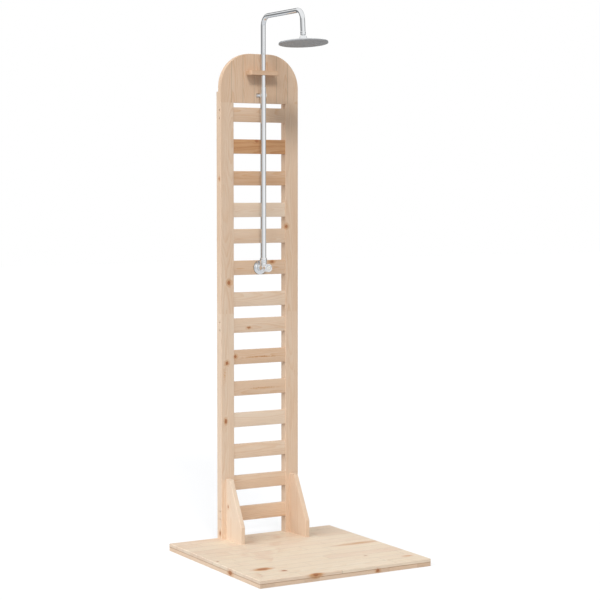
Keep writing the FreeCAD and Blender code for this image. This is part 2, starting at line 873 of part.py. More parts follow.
def make_clip():
    """A base plate on the panel, a stub and an open jaw that holds the riser from behind."""
    body = new_body("pipe_clip", x=S.tower_offset, y=riser_y)
    half_width = S.clip_plate_width / 2
    half_height = S.clip_plate_height / 2
    sketch = new_sketch(body, "XZ_Plane", S.clip_plate - S.riser_stand_off)
    draw_rectangle(sketch, -half_width, S.clip_level - half_height,
                   half_width, S.clip_level + half_height)
    pad(body, sketch, S.clip_plate, backwards=True)
    dress(body, "Fillet", lambda edge: runs_along(edge, "y"), S.clip_corner)
    inner = S.riser_radius + S.clip_clearance
    outer = inner + S.clip_wall
    stub_start = inner + S.clip_wall / 8
    sketch = new_sketch(body, "XZ_Plane", -stub_start)
    draw_circle(sketch, 0, S.clip_level, S.clip_stub_radius)
    pad(body, sketch, S.riser_stand_off - S.clip_plate - stub_start, backwards=True)
    sketch = new_sketch(body, "XY_Plane", S.clip_level)
    inner_x = root(inner * inner - S.clip_jaw_reach * S.clip_jaw_reach)
    outer_x = root(outer * outer - S.clip_jaw_reach * S.clip_jaw_reach)
    draw_path(sketch, [
        (-outer_x, -S.clip_jaw_reach, outer), (-inner_x, -S.clip_jaw_reach),
        (0, inner, -inner), (inner_x, -S.clip_jaw_reach, -inner),
        (outer_x, -S.clip_jaw_reach), (0, outer, outer)])
    pad(body, sketch, S.clip_jaw_height, symmetric=True)
    drill(body, "XZ_Plane", S.clip_plate - S.riser_stand_off, clip_screw_places(),
          S.clip_screw_radius + S.screw_clearance, S.clip_plate)


arm_foot = S.riser_top - S.arm_insertion
arm_axis_cosine = cosine(S.drop_lean)
arm_axis_sine = sine(S.drop_lean)
first_bend_end = riser_y - S.arm_bend
second_bend_start = first_bend_end - S.arm_run
drop_start_y = second_bend_start - S.arm_bend * arm_axis_cosine
drop_start_z = S.arm_height - S.arm_bend + S.arm_bend * arm_axis_sine
drop_end_y = drop_start_y - S.arm_drop * arm_axis_sine
drop_end_z = drop_start_z - S.arm_drop * arm_axis_cosine
stem_reach = S.stem_nut_place + S.stem_nut_height
ball_y = drop_end_y - stem_reach * arm_axis_sine
ball_z = drop_end_z - stem_reach * arm_axis_cosine


def make_arm():
    body = new_body("shower_arm", x=S.tower_offset)
    spine = new_sketch(body, "YZ_Plane")
    draw_path(spine, [
        (riser_y, arm_foot),
        (riser_y, S.arm_height - S.arm_bend),
        (first_bend_end, S.arm_height, S.arm_bend),
        (second_bend_start, S.arm_height),
        (drop_start_y, drop_start_z, S.arm_bend),
        (drop_end_y, drop_end_z)], closed=False)
    profile = new_sketch(body, "XY_Plane", arm_foot)
    draw_circle(profile, 0, riser_y, S.arm_radius)
    draw_circle(profile, 0, riser_y, S.arm_radius - S.arm_wall)
    doc.recompute()
    feature = add_feature(body, "AdditivePipe", profile)
    feature.Spine = spine
    doc.recompute()
    section = math.pi * (SIZES["arm_radius"] ** 2 - (SIZES["arm_radius"] - SIZES["arm_wall"]) ** 2)
    length = sum(edge.Length for edge in spine.Shape.Edges)
    if abs(feature.Shape.Volume / (section * length) - 1) > 0.01:
        raise RuntimeError("the arm's volume is not its section times its length")
    sketch = new_sketch(body, "YZ_Plane")
    for level in ring_levels():
        draw_rectangle(sketch, riser_y + S.arm_radius - S.ring_groove_depth,
                       level - S.ring_groove_width / 2, riser_y + S.arm_radius + S.bore_extra,
                       level + S.ring_groove_width / 2)
    axis = new_sketch(body, "YZ_Plane")
    line = axis.addGeometry(Part.LineSegment(
        FreeCAD.Vector(riser_y.value, 0, 0), FreeCAD.Vector(riser_y.value, 1, 0)), False)
    hold_point(axis, line, 1, riser_y, 0)
    hold_point(axis, line, 2, riser_y, 1)
    before = body.Tip.Shape.Volume
    cut = add_feature(body, "Groove", sketch)
    cut.ReferenceAxis = (axis, ["Edge1"])
    cut.Angle = 360.0
    check_cut(cut, before)


def ring_levels():
    return (arm_foot + S.ring_first, arm_foot + S.ring_first + S.ring_pitch)


def make_arm_rings():
    """Two square sealing rings in the grooves of the arm's foot, inside the riser."""
    body = new_body("arm_seal_rings", x=S.tower_offset, y=riser_y)
    body.AllowCompound = True
    sketch = new_sketch(body, "XZ_Plane")
    for level in ring_levels():
        draw_rectangle(sketch, S.arm_radius - S.ring_groove_depth + S.ring_slack,
                       level - S.ring_groove_width / 2 + S.ring_slack, S.arm_radius,
                       level + S.ring_groove_width / 2 - S.ring_slack)
    revolve(body, sketch, "V_Axis")


# ---------------------------------------------------------------- valve

valve_front = slat_front - S.rosette_thickness - S.valve_front
bonnet_front = valve_front - S.bonnet_length
knob_back = bonnet_front - S.knob_gap
knob_front = knob_back - S.knob_length
inlet_end = tray_back - S.inlet_margin
inlet_start = inlet_end - S.inlet_length
chamber_end = valve_front + S.chamber_depth
cartridge_front = chamber_end - S.cartridge_length
spindle_front = knob_back - S.knob_seat


def new_turned_body(name, outline):
    """A body turned about the valve's axis: outline gives its Y places and radii."""
    body = new_body(name, x=S.tower_offset, z=valve_level)
    sketch = new_sketch(body, "YZ_Plane")
    draw_path(sketch, outline)
    revolve(body, sketch, "H_Axis")
    return body


def make_valve_body():
    rosette_front = slat_front - S.rosette_thickness
    body = new_turned_body("valve_body", [
        (valve_front, 0), (inlet_end, 0), (inlet_end, S.inlet_radius),
        (inlet_start, S.inlet_radius), (inlet_start, S.shank_radius),
        (rosette_front, S.shank_radius), (rosette_front, S.valve_radius),
        (valve_front, S.valve_radius)])
    sketch = new_sketch(body, "XY_Plane")
    draw_circle(sketch, 0, riser_y, S.outlet_radius)
    pad(body, sketch, S.outlet_height)
    sketch = new_sketch(body, "YZ_Plane")
    draw_path(sketch, [
        (valve_front, 0), (inlet_end, 0), (inlet_end, S.water_way), (chamber_end, S.water_way),
        (chamber_end, S.chamber_radius), (valve_front, S.chamber_radius)])
    groove(body, sketch, "H_Axis")
    drill(body, "XY_Plane", S.outlet_height, [(0, riser_y)], S.outlet_bore, S.outlet_height)
    drill(body, "XY_Plane", S.outlet_height, [(0, riser_y)],
          S.riser_radius + S.nut_clearance, S.socket_depth)


def make_back_nut():
    body = new_body("back_nut", x=S.tower_offset, z=valve_level)
    corner_radius = S.back_nut_flats / (cosine(30) * 2)
    sketch = new_sketch(body, "XZ_Plane", -slat_back)
    draw_path(sketch, [(corner_radius * cosine(60 * step), corner_radius * sine(60 * step))
                       for step in range(6)])
    draw_circle(sketch, 0, 0, S.shank_radius + S.nut_clearance)
    pad(body, sketch, S.back_nut_thickness, backwards=True)


def make_valve_trim():
    rosette_front = slat_front - S.rosette_thickness
    inner = S.shank_radius + S.nut_clearance
    new_turned_body("rosette", [
        (slat_front, inner), (slat_front, S.rosette_radius),
        (slat_front - S.rosette_rim, S.rosette_radius),
        (rosette_front, S.valve_radius + S.rosette_rim, S.rosette_dome),
        (rosette_front, inner)])
    inner = S.chamber_radius - S.chamber_clearance
    spindle_bore = S.spindle_radius + S.spindle_clearance
    bore_end = cartridge_front + S.spindle_depth + S.spindle_clearance
    new_turned_body("cartridge", [
        (chamber_end, 0), (chamber_end, inner), (cartridge_front, inner),
        (cartridge_front, spindle_bore), (bore_end, spindle_bore), (bore_end, 0)])
    new_turned_body("bonnet", [
        (valve_front, S.chamber_radius), (valve_front, S.bonnet_radius),
        (bonnet_front + S.riser_nut_chamfer, S.bonnet_radius),
        (bonnet_front, S.bonnet_radius - S.riser_nut_chamfer),
        (bonnet_front, S.bonnet_bore), (bonnet_front + S.bonnet_lip, S.bonnet_bore),
        (bonnet_front + S.bonnet_lip, S.chamber_radius)])


def make_knob():
    screw_face = knob_front + S.cap_thickness + S.cap_sink + S.knob_screw_head
    screw_hole = S.knob_screw_radius + S.screw_clearance
    head_hole = S.knob_screw_head_radius + S.screw_clearance
    cap_floor = knob_front + S.cap_thickness + S.cap_sink
    new_turned_body("knob", [
        (knob_back, S.spindle_radius + S.screw_clearance), (knob_back, S.knob_waist),
        (knob_back - S.knob_length / 4, S.knob_radius),
        (knob_front + S.knob_round, S.knob_radius),
        (knob_front, S.knob_radius - S.knob_round, S.knob_round),
        (knob_front, S.cap_radius + S.cap_clearance), (cap_floor, S.cap_radius + S.cap_clearance),
        (cap_floor, head_hole), (screw_face, head_hole), (screw_face, screw_hole),
        (spindle_front, screw_hole), (spindle_front, S.spindle_radius + S.screw_clearance)])
    new_turned_body("knob_cap", [
        (cap_floor, 0), (cap_floor, S.cap_radius), (knob_front + S.cap_sink, S.cap_radius),
        (knob_front + S.cap_sink, 0)])
    thread_end = screw_face + S.knob_screw_length
    new_turned_body("knob_screw", [
        (cap_floor, 0), (thread_end, 0), (thread_end, S.knob_screw_radius),
        (screw_face, S.knob_screw_radius), (screw_face, S.knob_screw_head_radius),
        (cap_floor, S.knob_screw_head_radius)])
    spindle_end = cartridge_front + S.spindle_depth
    hole_end = thread_end + S.bore_extra
    new_turned_body("spindle", [
        (spindle_front, screw_hole), (spindle_front, S.spindle_radius),
        (spindle_end, S.spindle_radius), (spindle_end, 0), (hole_end, 0),
        (hole_end, screw_hole)])


# ---------------------------------------------------------------- ball joint and head

def new_hanging_body(name, outline):
    """A body turned about the leaning drop: outline gives radii and heights from the ball."""
    body = new_body(name, x=S.tower_offset, y=ball_y, z=ball_z)
    body.Placement.Rotation = FreeCAD.Rotation(FreeCAD.Vector(1, 0, 0), -SIZES["drop_lean"])
    bind(body, "Placement.Rotation.Angle", S.drop_lean)
    bind(body, "Placement.Rotation.Axis.x", -1)
    sketch = new_sketch(body, "XZ_Plane")
    draw_path(sketch, outline)
    revolve(body, sketch, "V_Axis")
    return body


def on_sphere(radius, angle):
    """A point of the outline on a sphere about the ball, at an angle from straight up."""
    return radius * sine(angle), radius * cosine(angle)


def make_ball_stem():
    bore_foot = -root(S.ball_radius * S.ball_radius - S.stem_bore * S.stem_bore)
    neck_foot = root(S.ball_radius * S.ball_radius - S.neck_radius * S.neck_radius)
    spigot_radius = S.arm_radius - S.arm_wall - S.spigot_clearance
    spigot_top = stem_reach + S.spigot_length
    new_hanging_body("ball_stem", [
        (S.stem_bore, bore_foot), (S.neck_radius, neck_foot, S.ball_radius),
        (S.neck_radius, S.stem_nut_place),
        (S.stem_nut_radius - S.stem_nut_chamfer, S.stem_nut_place),
        (S.stem_nut_radius, S.stem_nut_place + S.stem_nut_chamfer),
        (S.stem_nut_radius, stem_reach - S.stem_nut_chamfer),
        (S.stem_nut_radius - S.stem_nut_chamfer, stem_reach),
        (spigot_radius, stem_reach), (spigot_radius, spigot_top), (S.stem_bore, spigot_top)])


slip_inner = S.ball_radius + S.ball_clearance
slip_outer = slip_inner + S.slip_ring_wall
seal_inner = slip_outer + S.ball_clearance
seal_outer = seal_inner + S.ball_seal_wall
cup_radius = seal_outer + S.cup_clearance


def make_rings():
    """Two concentric rings round the ball, on which the head tilts."""
    for name, inner, outer in (("slip_ring", slip_inner, slip_outer),
                               ("ball_seal", seal_inner, seal_outer)):
        new_hanging_body(name, [
            on_sphere(inner, S.ring_opening), on_sphere(inner, S.ring_foot) + (-inner,),
            on_sphere(outer, S.ring_foot), on_sphere(outer, S.ring_opening) + (outer,)])


def make_collar():
    lip_x, lip_z = on_sphere(cup_radius, S.ring_opening)
    mouth = S.collar_top * lip_x / lip_z
    thread = S.boss_radius + S.nut_clearance
    new_hanging_body("retaining_collar", [
        (thread, -S.collar_foot), (S.collar_radius, -S.collar_foot),
        (S.collar_radius, -S.collar_foot / 2), (S.collar_top_radius, S.collar_top),
        (mouth, S.collar_top), (lip_x, lip_z), (cup_radius, 0, -cup_radius), (thread, 0)])


def make_head_shell():
    """A low dome with the ball's cup in its boss and a water chamber under it."""
    cup_edge = -root(cup_radius * cup_radius - S.cup_bore * S.cup_bore)
    floor = -cup_radius - S.cup_floor
    inner_radius = S.head_radius - S.head_wall
    under_dome = -S.head_shoulder - S.head_wall
    new_hanging_body("head_shell", [
        (S.cup_bore, floor), (S.boss_radius, floor), (S.boss_radius, under_dome),
        (inner_radius, -S.head_rim_top - S.head_wall, -S.head_dome),
        (inner_radius, -S.head_rim_bottom), (S.head_radius, -S.head_rim_bottom),
        (S.head_radius, -S.head_rim_top), (S.boss_radius, -S.head_shoulder, S.head_dome),
        (S.boss_radius, 0), (cup_radius, 0), (S.cup_bore, cup_edge, -cup_radius)])


def nozzle_places():
    """The middle nozzle, then rings that each hold six nozzles more than the one inside."""
    places = [(as_size(0), as_size(0))]
    for ring in range(1, NOZZLE_RINGS + 1):
        count = NOZZLES_IN_FIRST_RING * ring
        for step in range(count):
            angle = 360.0 * step / count
            places.append((S.nozzle_pitch * ring * cosine(angle),
                           S.nozzle_pitch * ring * sine(angle)))
    return places


def make_spray_face():
    """The steel plate in the head's rim and the rubber mat whose nozzles come through it."""
    plate_radius = S.head_radius - S.head_wall - S.plate_clearance
    plate_top = S.plate_thickness - S.head_rim_bottom
    body = new_hanging_body("spray_plate", [
        (0, -S.head_rim_bottom), (plate_radius, -S.head_rim_bottom),
        (plate_radius, plate_top), (0, plate_top)])
    drill(body, "XY_Plane", plate_top, nozzle_places(),
          S.nozzle_radius + S.nozzle_clearance, S.plate_thickness)
    mat_radius = plate_radius - S.mat_inset
    mat_top = plate_top + S.mat_thickness
    body = new_hanging_body("nozzle_mat", [
        (0, plate_top), (mat_radius, plate_top), (mat_radius, mat_top), (0, mat_top)])
    sketch = new_sketch(body, "XY_Plane", plate_top)
    for x, y in nozzle_places():
        draw_circle(sketch, x, y, S.nozzle_radius)
    pad(body, sketch, S.nozzle_length, backwards=True)


# ---------------------------------------------------------------- the whole post

def check_all():
    """Stops if any object failed or any sub-part has no valid solid."""
    for thing in doc.Objects:
        if {"Invalid", "Error"} & set(thing.State):
            raise RuntimeError(f"{thing.Label} failed: {thing.State}")
    for body in subparts:
        shape = body.Shape
        if shape.isNull() or not shape.isValid() or not shape.Solids:
            raise RuntimeError(f"{body.Label} has no valid solid")


def write_files():
    os.makedirs("parts", exist_ok=True)
    for body in subparts:
        body.Shape.exportStep(f"parts/{body.Label}.step")


make_deck()
make_battens()
make_fillers()
make_posts()
make_arch()
make_slats()
make_wedges()
make_shelf()
make_screws()
make_riser()
make_clip()
make_arm()
make_arm_rings()
make_valve_body()
make_back_nut()
make_valve_trim()
make_knob()
make_ball_stem()
make_rings()
make_collar()
make_head_shell()
make_spray_face()
doc.recompute()
check_all()
write_files()
print(f"{len(subparts)} sub-parts written")
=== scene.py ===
"""Dresses the outdoor shower post: a pine tower on its tray, with a chrome overhead shower."""

import json
import math

import bmesh
import bpy
from mathutils import Matrix, Vector


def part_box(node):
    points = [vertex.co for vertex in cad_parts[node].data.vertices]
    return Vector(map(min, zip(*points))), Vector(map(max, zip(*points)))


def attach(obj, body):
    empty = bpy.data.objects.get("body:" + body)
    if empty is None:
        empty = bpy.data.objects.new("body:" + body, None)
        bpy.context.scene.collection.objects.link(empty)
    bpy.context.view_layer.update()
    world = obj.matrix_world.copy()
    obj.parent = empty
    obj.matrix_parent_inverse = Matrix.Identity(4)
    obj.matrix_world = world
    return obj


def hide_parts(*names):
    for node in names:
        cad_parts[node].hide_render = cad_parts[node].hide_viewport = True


bl_info = {
    "name": "Outdoor Shower Post",
    "version": (1, 0, 0),
    "blender": (4, 5, 0),
    "location": "3D View > Sidebar > Shower",
    "description": "Builds the visible pieces of an outdoor shower post and its studio",
    "category": "Object",
}

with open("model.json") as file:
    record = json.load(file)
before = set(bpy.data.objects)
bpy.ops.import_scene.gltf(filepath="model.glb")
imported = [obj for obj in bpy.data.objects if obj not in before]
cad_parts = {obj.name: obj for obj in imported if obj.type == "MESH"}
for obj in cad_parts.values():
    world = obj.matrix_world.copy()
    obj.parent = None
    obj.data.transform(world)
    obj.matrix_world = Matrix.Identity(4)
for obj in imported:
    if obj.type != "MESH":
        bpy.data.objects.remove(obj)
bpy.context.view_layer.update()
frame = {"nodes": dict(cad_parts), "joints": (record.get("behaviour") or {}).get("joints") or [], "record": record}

MM = 0.001

riser_low, riser_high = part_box("riser_tube")
rosette_low, rosette_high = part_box("rosette")
arm_low, arm_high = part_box("shower_arm")
slat_low, slat_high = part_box("slat_14")
post_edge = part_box("lower_post_left")[1].x
other_post_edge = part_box("lower_post_right")[0].x
riser_axis = (riser_low + riser_high) / 2
valve_level = (rosette_low.z + rosette_high.z) / 2
head_spin = next(joint for joint in frame["joints"] if joint["name"] == "head_spin")
ball_centre = Vector(head_spin["pos_m"])
drop_axis = Vector(head_spin["axis"]).normalized()

# the tone of each slat from the top: 0 is the palest pine, 1 the warmest
SLAT_TONES = (0.42, 1.0, 0.68, 0.06, 0.26, 0.46, 0.14, 0.24, 0.44, 0.38, 0.04, 0.2, 0.32, 0.3)

# knots: place, and half of the size along X, Y and Z, in millimetres
KNOTS = (
    ((-285, -222, 30), (20, 12, 7)),
    ((-223, -284, 30), (12, 8, 7)),
    ((192, -214, 30), (9, 3, 5)),
    ((-372, -14, 30), (7, 4, 4)),
    ((-143, -391, 27), (11, 7, 7)),
    ((137, -390, 10), (7, 6, 6)),
    ((-388, -150, 13), (6, 13, 8)),
    ((-143, 332, 170), (4, 4, 6)),
    ((-164, 364, 54), (6, 5, 9)),
    ((-164, 366, 1541), (6, 4, 6)),
    ((-127, 351, 1108), (7, 8, 8)),
    ((-137, 351, 771), (6, 6, 7)),
    ((-143, 351, 527), (5, 8, 9)),
    ((-31, 354, 916), (7, 9, 4)),
    ((-96, 354, 797), (6, 7, 5)),
    ((80, 354, 1192), (8, 8, 5)),
    ((8, 354, 1700), (9, 7, 6)),
    ((150, 354, 1340), (6, 7, 7)),
    ((60, 373, 640), (7, 8, 6)),
    ((190, 371, 720), (8, 8, 9)),
    ((-150, 390, 1290), (7, 8, 8)),
)

# warm streaks in single staves, given as the knots are
STREAKS = (
    ((290, 2, 30), (135, 25, 16)),
    ((335, -302, 30), (30, 14, 9)),
    ((-283, -222, 30), (60, 22, 12)),
    ((-143, -391, 25), (40, 16, 14)),
    ((-149, 358, 722), (13, 8, 62)),
    ((20, 361, 791), (115, 8, 6)),
    ((25, 361, 658), (115, 8, 6)),
)

# how many steps round a corner of a turned piece
ROUNDING_STEPS = 4

# woodwork: room for the staves' outer edges, a stave that never ends, the tenons of the
# slats and the chamfer round the arched panel
STAVE_MARGIN = 2 * MM
ENDLESS_STAVE = 10.0
TENON_DEPTH = 9 * MM
TENON_HEIGHT = 50 * MM
CHAMFER = 1.5 * MM

# the ball joint and the head, in millimetres; heights are measured from the ball's centre
BALL_RADIUS = 8.0
CUP_RADIUS = 10.45
NUT_TOP = 25.3
DOME_BOW = 700.0
MAT_FACE = -22.8

# the studio: where the camera stands, how far it looks down and to the right in degrees,
# the level direction it looks along, and the half width of the floor
CAMERA_PLACE = (-3.417, -5.9073, 1.4985)
CAMERA_DIP = 2.732
CAMERA_TURN = 30.136
AWAY = (0.5, 0.866)
FLOOR_REACH = 25.0


# ---------------------------------------------------------------- sizes and colours

def colour_setting(name, description, default):
    return bpy.props.FloatVectorProperty(
        name=name, description=description, default=default, subtype="COLOR", size=3,
        min=0.0, max=1.0)


def length_setting(name, description, default, least=0.0):
    return bpy.props.FloatProperty(
        name=name, description=description, default=default, unit="LENGTH", min=least)


def amount_setting(name, description, default):
    return bpy.props.FloatProperty(name=name, description=description, default=default, min=0.0)


def count_setting(name, description, default, most):
    return bpy.props.IntProperty(
        name=name, description=description, default=default, min=1, max=most)


class PineLook(bpy.types.PropertyGroup):
    """Colours and figure of the pine."""

    pale: colour_setting("Pale pine", "Colour of the palest boards", (0.785, 0.64, 0.505))
    sap: colour_setting("Sapwood", "Colour of the yellowish staves", (0.81, 0.69, 0.54))
    warm: colour_setting("Warm pine", "Colour of the warmest boards", (0.62, 0.365, 0.195))
    knot: colour_setting("Knots", "Colour inside a knot", (0.34, 0.13, 0.06))
    ring_pitch: length_setting(
        "Ring pitch", "Distance from one growth ring to the next", 3.4 * MM, MM)
    stave_width: length_setting(
        "Stave width", "Width of the staves that the tray is glued from", 65 * MM, 10 * MM)
    stave_length: length_setting(
        "Stave length", "Length of the staves that the tray is glued from", 430 * MM, 50 * MM)
    arch_stave_width: length_setting(
        "Arch stave width", "Width of the upright staves in the arched panel", 53 * MM, 10 * MM)
    tray_easing: length_setting(
        "Tray's eased edges", "Rounding of the edges of the tray's boards", 1.1 * MM)
    easing: length_setting("Eased edges", "Rounding of the boards' sanded edges", 0.5 * MM)


class MetalLook(bpy.types.PropertyGroup):
    """Colours of the metal, rubber and plastic."""

    chrome: colour_setting("Chrome", "Colour of the chrome plating", (0.84, 0.855, 0.87))
    steel: colour_setting("Steel", "Colour of the spray plate", (0.47, 0.47, 0.472))
    brass: colour_setting("Brass", "Colour of the bare brass", (0.79, 0.57, 0.26))
    rubber: colour_setting("Rubber", "Colour of the nozzles", (0.52, 0.52, 0.525))


class ShowerSizes(bpy.types.PropertyGroup):
    """Sizes of the shower, taken from the frame where it has them."""

    riser_radius: length_setting(
        "Riser radius", "Outside radius of the lower tube", (riser_high.x - riser_low.x) / 2)
    arm_radius: length_setting(
        "Arm radius", "Outside radius of the bent upper tube", (arm_high.x - arm_low.x) / 2)
    arm_bend: length_setting(
        "Arm bend", "Radius of the arm's two bends, along its middle", 42 * MM)
    rosette_radius: length_setting(
        "Rosette radius", "Outside radius of the valve's rosette",
        (rosette_high.x - rosette_low.x) / 2)
    nozzle_rings: count_setting(
        "Nozzle rings", "Rings of nozzles round the middle one", 4, 6)
    nozzle_pitch: length_setting(
        "Nozzle pitch", "Distance from one ring of nozzles to the next", 21 * MM)
    arch_radius: length_setting(
        "Arch radius", "Radius of the arched panel's upper corners", 142 * MM)
    slat_pitch: length_setting(
        "Slat pitch", "Distance from one slat to the next", 132.65 * MM)
    slat_short_pitch: length_setting(
        "Short slat pitch", "Distance after the fourth and the seventh slat", 110 * MM)
    slat_count: count_setting("Slats", "Slats between the posts", 14, 14)


class StageLook(bpy.types.PropertyGroup):
    """Camera and light of the studio."""

    lens: amount_setting("Lens", "Focal length of the camera in millimetres", 101.66)
    key: amount_setting("Key light", "Strength of the light from the front", 1.44)
    side: amount_setting("Side light", "Strength of the light from the left", 2.04)
    fill: amount_setting("Fill light", "Strength of the light from behind", 0.5)
    ambient: amount_setting("Ambient", "Strength of the light from all round", 0.22)


# ---------------------------------------------------------------- node trees

class Wire:
    """A node's output that sums can be written with, as a number or as a vector."""

    def __init__(self, nodes, socket):
        self.nodes = nodes
        self.socket = socket
        self.is_number = socket.type in ("VALUE", "INT")

    def work(self, operation, *others):
        kind = self.nodes.math if self.is_number else self.nodes.vector
        return kind(operation, self, *others)

    def __add__(self, other):
        return self.work("ADD", other)

    def __sub__(self, other):
        return self.work("SUBTRACT", other)

    def __mul__(self, other):
        return self.work("MULTIPLY", other)

    def __truediv__(self, other):
        return self.work("DIVIDE", other)

    def times_plus(self, factor, term):
        return self.work("MULTIPLY_ADD", factor, term)


class Nodes:
    """Adds and links the nodes of one tree."""

    def __init__(self, tree):
        self.tree = tree

    def feed(self, socket, value):
        if isinstance(value, Wire):
            self.tree.links.new(value.socket, socket)
        else:
            socket.default_value = value

    def add(self, kind, inputs=None, **settings):
        node = self.tree.nodes.new(kind)
        for name, value in settings.items():
            setattr(node, name, value)
        for name, value in (inputs or {}).items():
            self.feed(node.inputs[name], value)
        return node

    def take(self, kind, inputs=None, output=0, **settings):
        """Adds a node and gives one of its outputs."""
        return Wire(self, self.add(kind, inputs, **settings).outputs[output])

    def take_all(self, kind, inputs=None, **settings):
        """Adds a node and gives its outputs by their names."""
        node = self.add(kind, inputs, **settings)
        return {output.name: Wire(self, output) for output in node.outputs}

    def math(self, operation, *values):
        return self.take("ShaderNodeMath", dict(enumerate(values)), operation=operation)

    def vector(self, operation, *values, scale=None):
        inputs = dict(enumerate(values))
        if scale is not None:
            inputs["Scale"] = scale
        is_number = operation in ("LENGTH", "DOT_PRODUCT")
        return self.take("ShaderNodeVectorMath", inputs, "Value" if is_number else "Vector",
                         operation=operation)

    def attribute(self, name, output="Fac"):
        return self.take("ShaderNodeAttribute", output=output, attribute_name=name)

    def split(self, vector):
        return list(self.take_all("ShaderNodeSeparateXYZ", {"Vector": vector}).values())

    def join(self, x=0.0, y=0.0, z=0.0):
        return self.take("ShaderNodeCombineXYZ", {"X": x, "Y": y, "Z": z})

    def noise(self, vector, scale=1.0, detail=2.0, roughness=0.5, output="Fac"):
        return self.take("ShaderNodeTexNoise", {
            "Vector": vector, "Scale": scale, "Detail": detail, "Roughness": roughness}, output)

    def ramp(self, value, *stops):
        """A ramp of greys, which counts as a number."""
        node = self.add("ShaderNodeValToRGB", {"Fac": value})
        elements = node.color_ramp.elements
        while len(elements) < len(stops):
            elements.new(1.0)
        for element, (place, level) in zip(elements, stops):
            element.position = place
            element.color = (*grey(level), 1.0)
        wire = Wire(self, node.outputs["Color"])
        wire.is_number = True
        return wire

    def spread(self, value, low, high, start=0.0, end=1.0):
        """A smooth step from start to end while value goes from low to high."""
        return self.take("ShaderNodeMapRange", {
            "Value": value, "From Min": low, "From Max": high, "To Min": start, "To Max": end},
            "Result", interpolation_type="SMOOTHSTEP")

    def mix(self, amount, first, second, blend="MIX"):
        first, second = (colour if isinstance(colour, Wire) else (*colour, 1.0)
                         for colour in (first, second))
        return self.take("ShaderNodeMix", {0: amount, 6: first, 7: second}, 2,
                         data_type="RGBA", blend_type=blend)

    def tint(self, amount, colour, factors):
        """The colour times the factors, mixed in by an amount."""
        return self.mix(amount, colour, self.mix(1.0, colour, factors, "MULTIPLY"))

    def dapple(self, amount, colour, darker):
        """The colour, and a darker one by an amount."""
        return self.mix(amount, colour, [channel * darker for channel in colour])


class Finish(Nodes):
    """A new material and the nodes of its shader."""

    def __init__(self, name):
        self.material = bpy.data.materials.new(name)
        self.material.use_nodes = True
        super().__init__(self.material.node_tree)

    def point(self):
        return self.take("ShaderNodeTexCoord", output="Object")

    def bump(self, height, distance, strength):
        return self.take("ShaderNodeBump", {
            "Height": height, "Distance": distance, "Strength": strength}, "Normal")

    def dress(self, inputs):
        """Feeds the shader and gives the material."""
        shader = self.tree.nodes["Principled BSDF"]
        for name, value in inputs.items():
            self.feed(shader.inputs[name], value)
        return self.material


def grey(level):
    return (level, level, level)


# ---------------------------------------------------------------- finishes

def new_knot_group():
    """How far a point is from a knot in the knot's own sizes, or from a nearer one."""
    group = bpy.data.node_groups.new("knot", "ShaderNodeTree")
    for name, kind in (("Point", "Vector"), ("Place", "Vector"), ("Size", "Vector"),
                       ("Nearest", "Float")):
        group.interface.new_socket(name, in_out="INPUT", socket_type=f"NodeSocket{kind}")
    group.interface.new_socket("Nearest", in_out="OUTPUT", socket_type="NodeSocketFloat")
    nodes = Nodes(group)
    given = nodes.take_all("NodeGroupInput")
    away = nodes.vector("LENGTH", (given["Point"] - given["Place"]) / given["Size"])
    nodes.add("NodeGroupOutput", {"Nearest": nodes.math("MINIMUM", away, given["Nearest"])})
    return group


def nearest_of(nodes, group, point, marks):
    """The distance of the point from the nearest mark, in the mark's own sizes."""
    nearest = 100.0
    for place, size in marks:
        nearest = nodes.take("ShaderNodeGroup", {
            "Point": point, "Place": Vector(place) * MM, "Size": Vector(size) * MM,
            "Nearest": nearest}, node_tree=group)
    return nearest


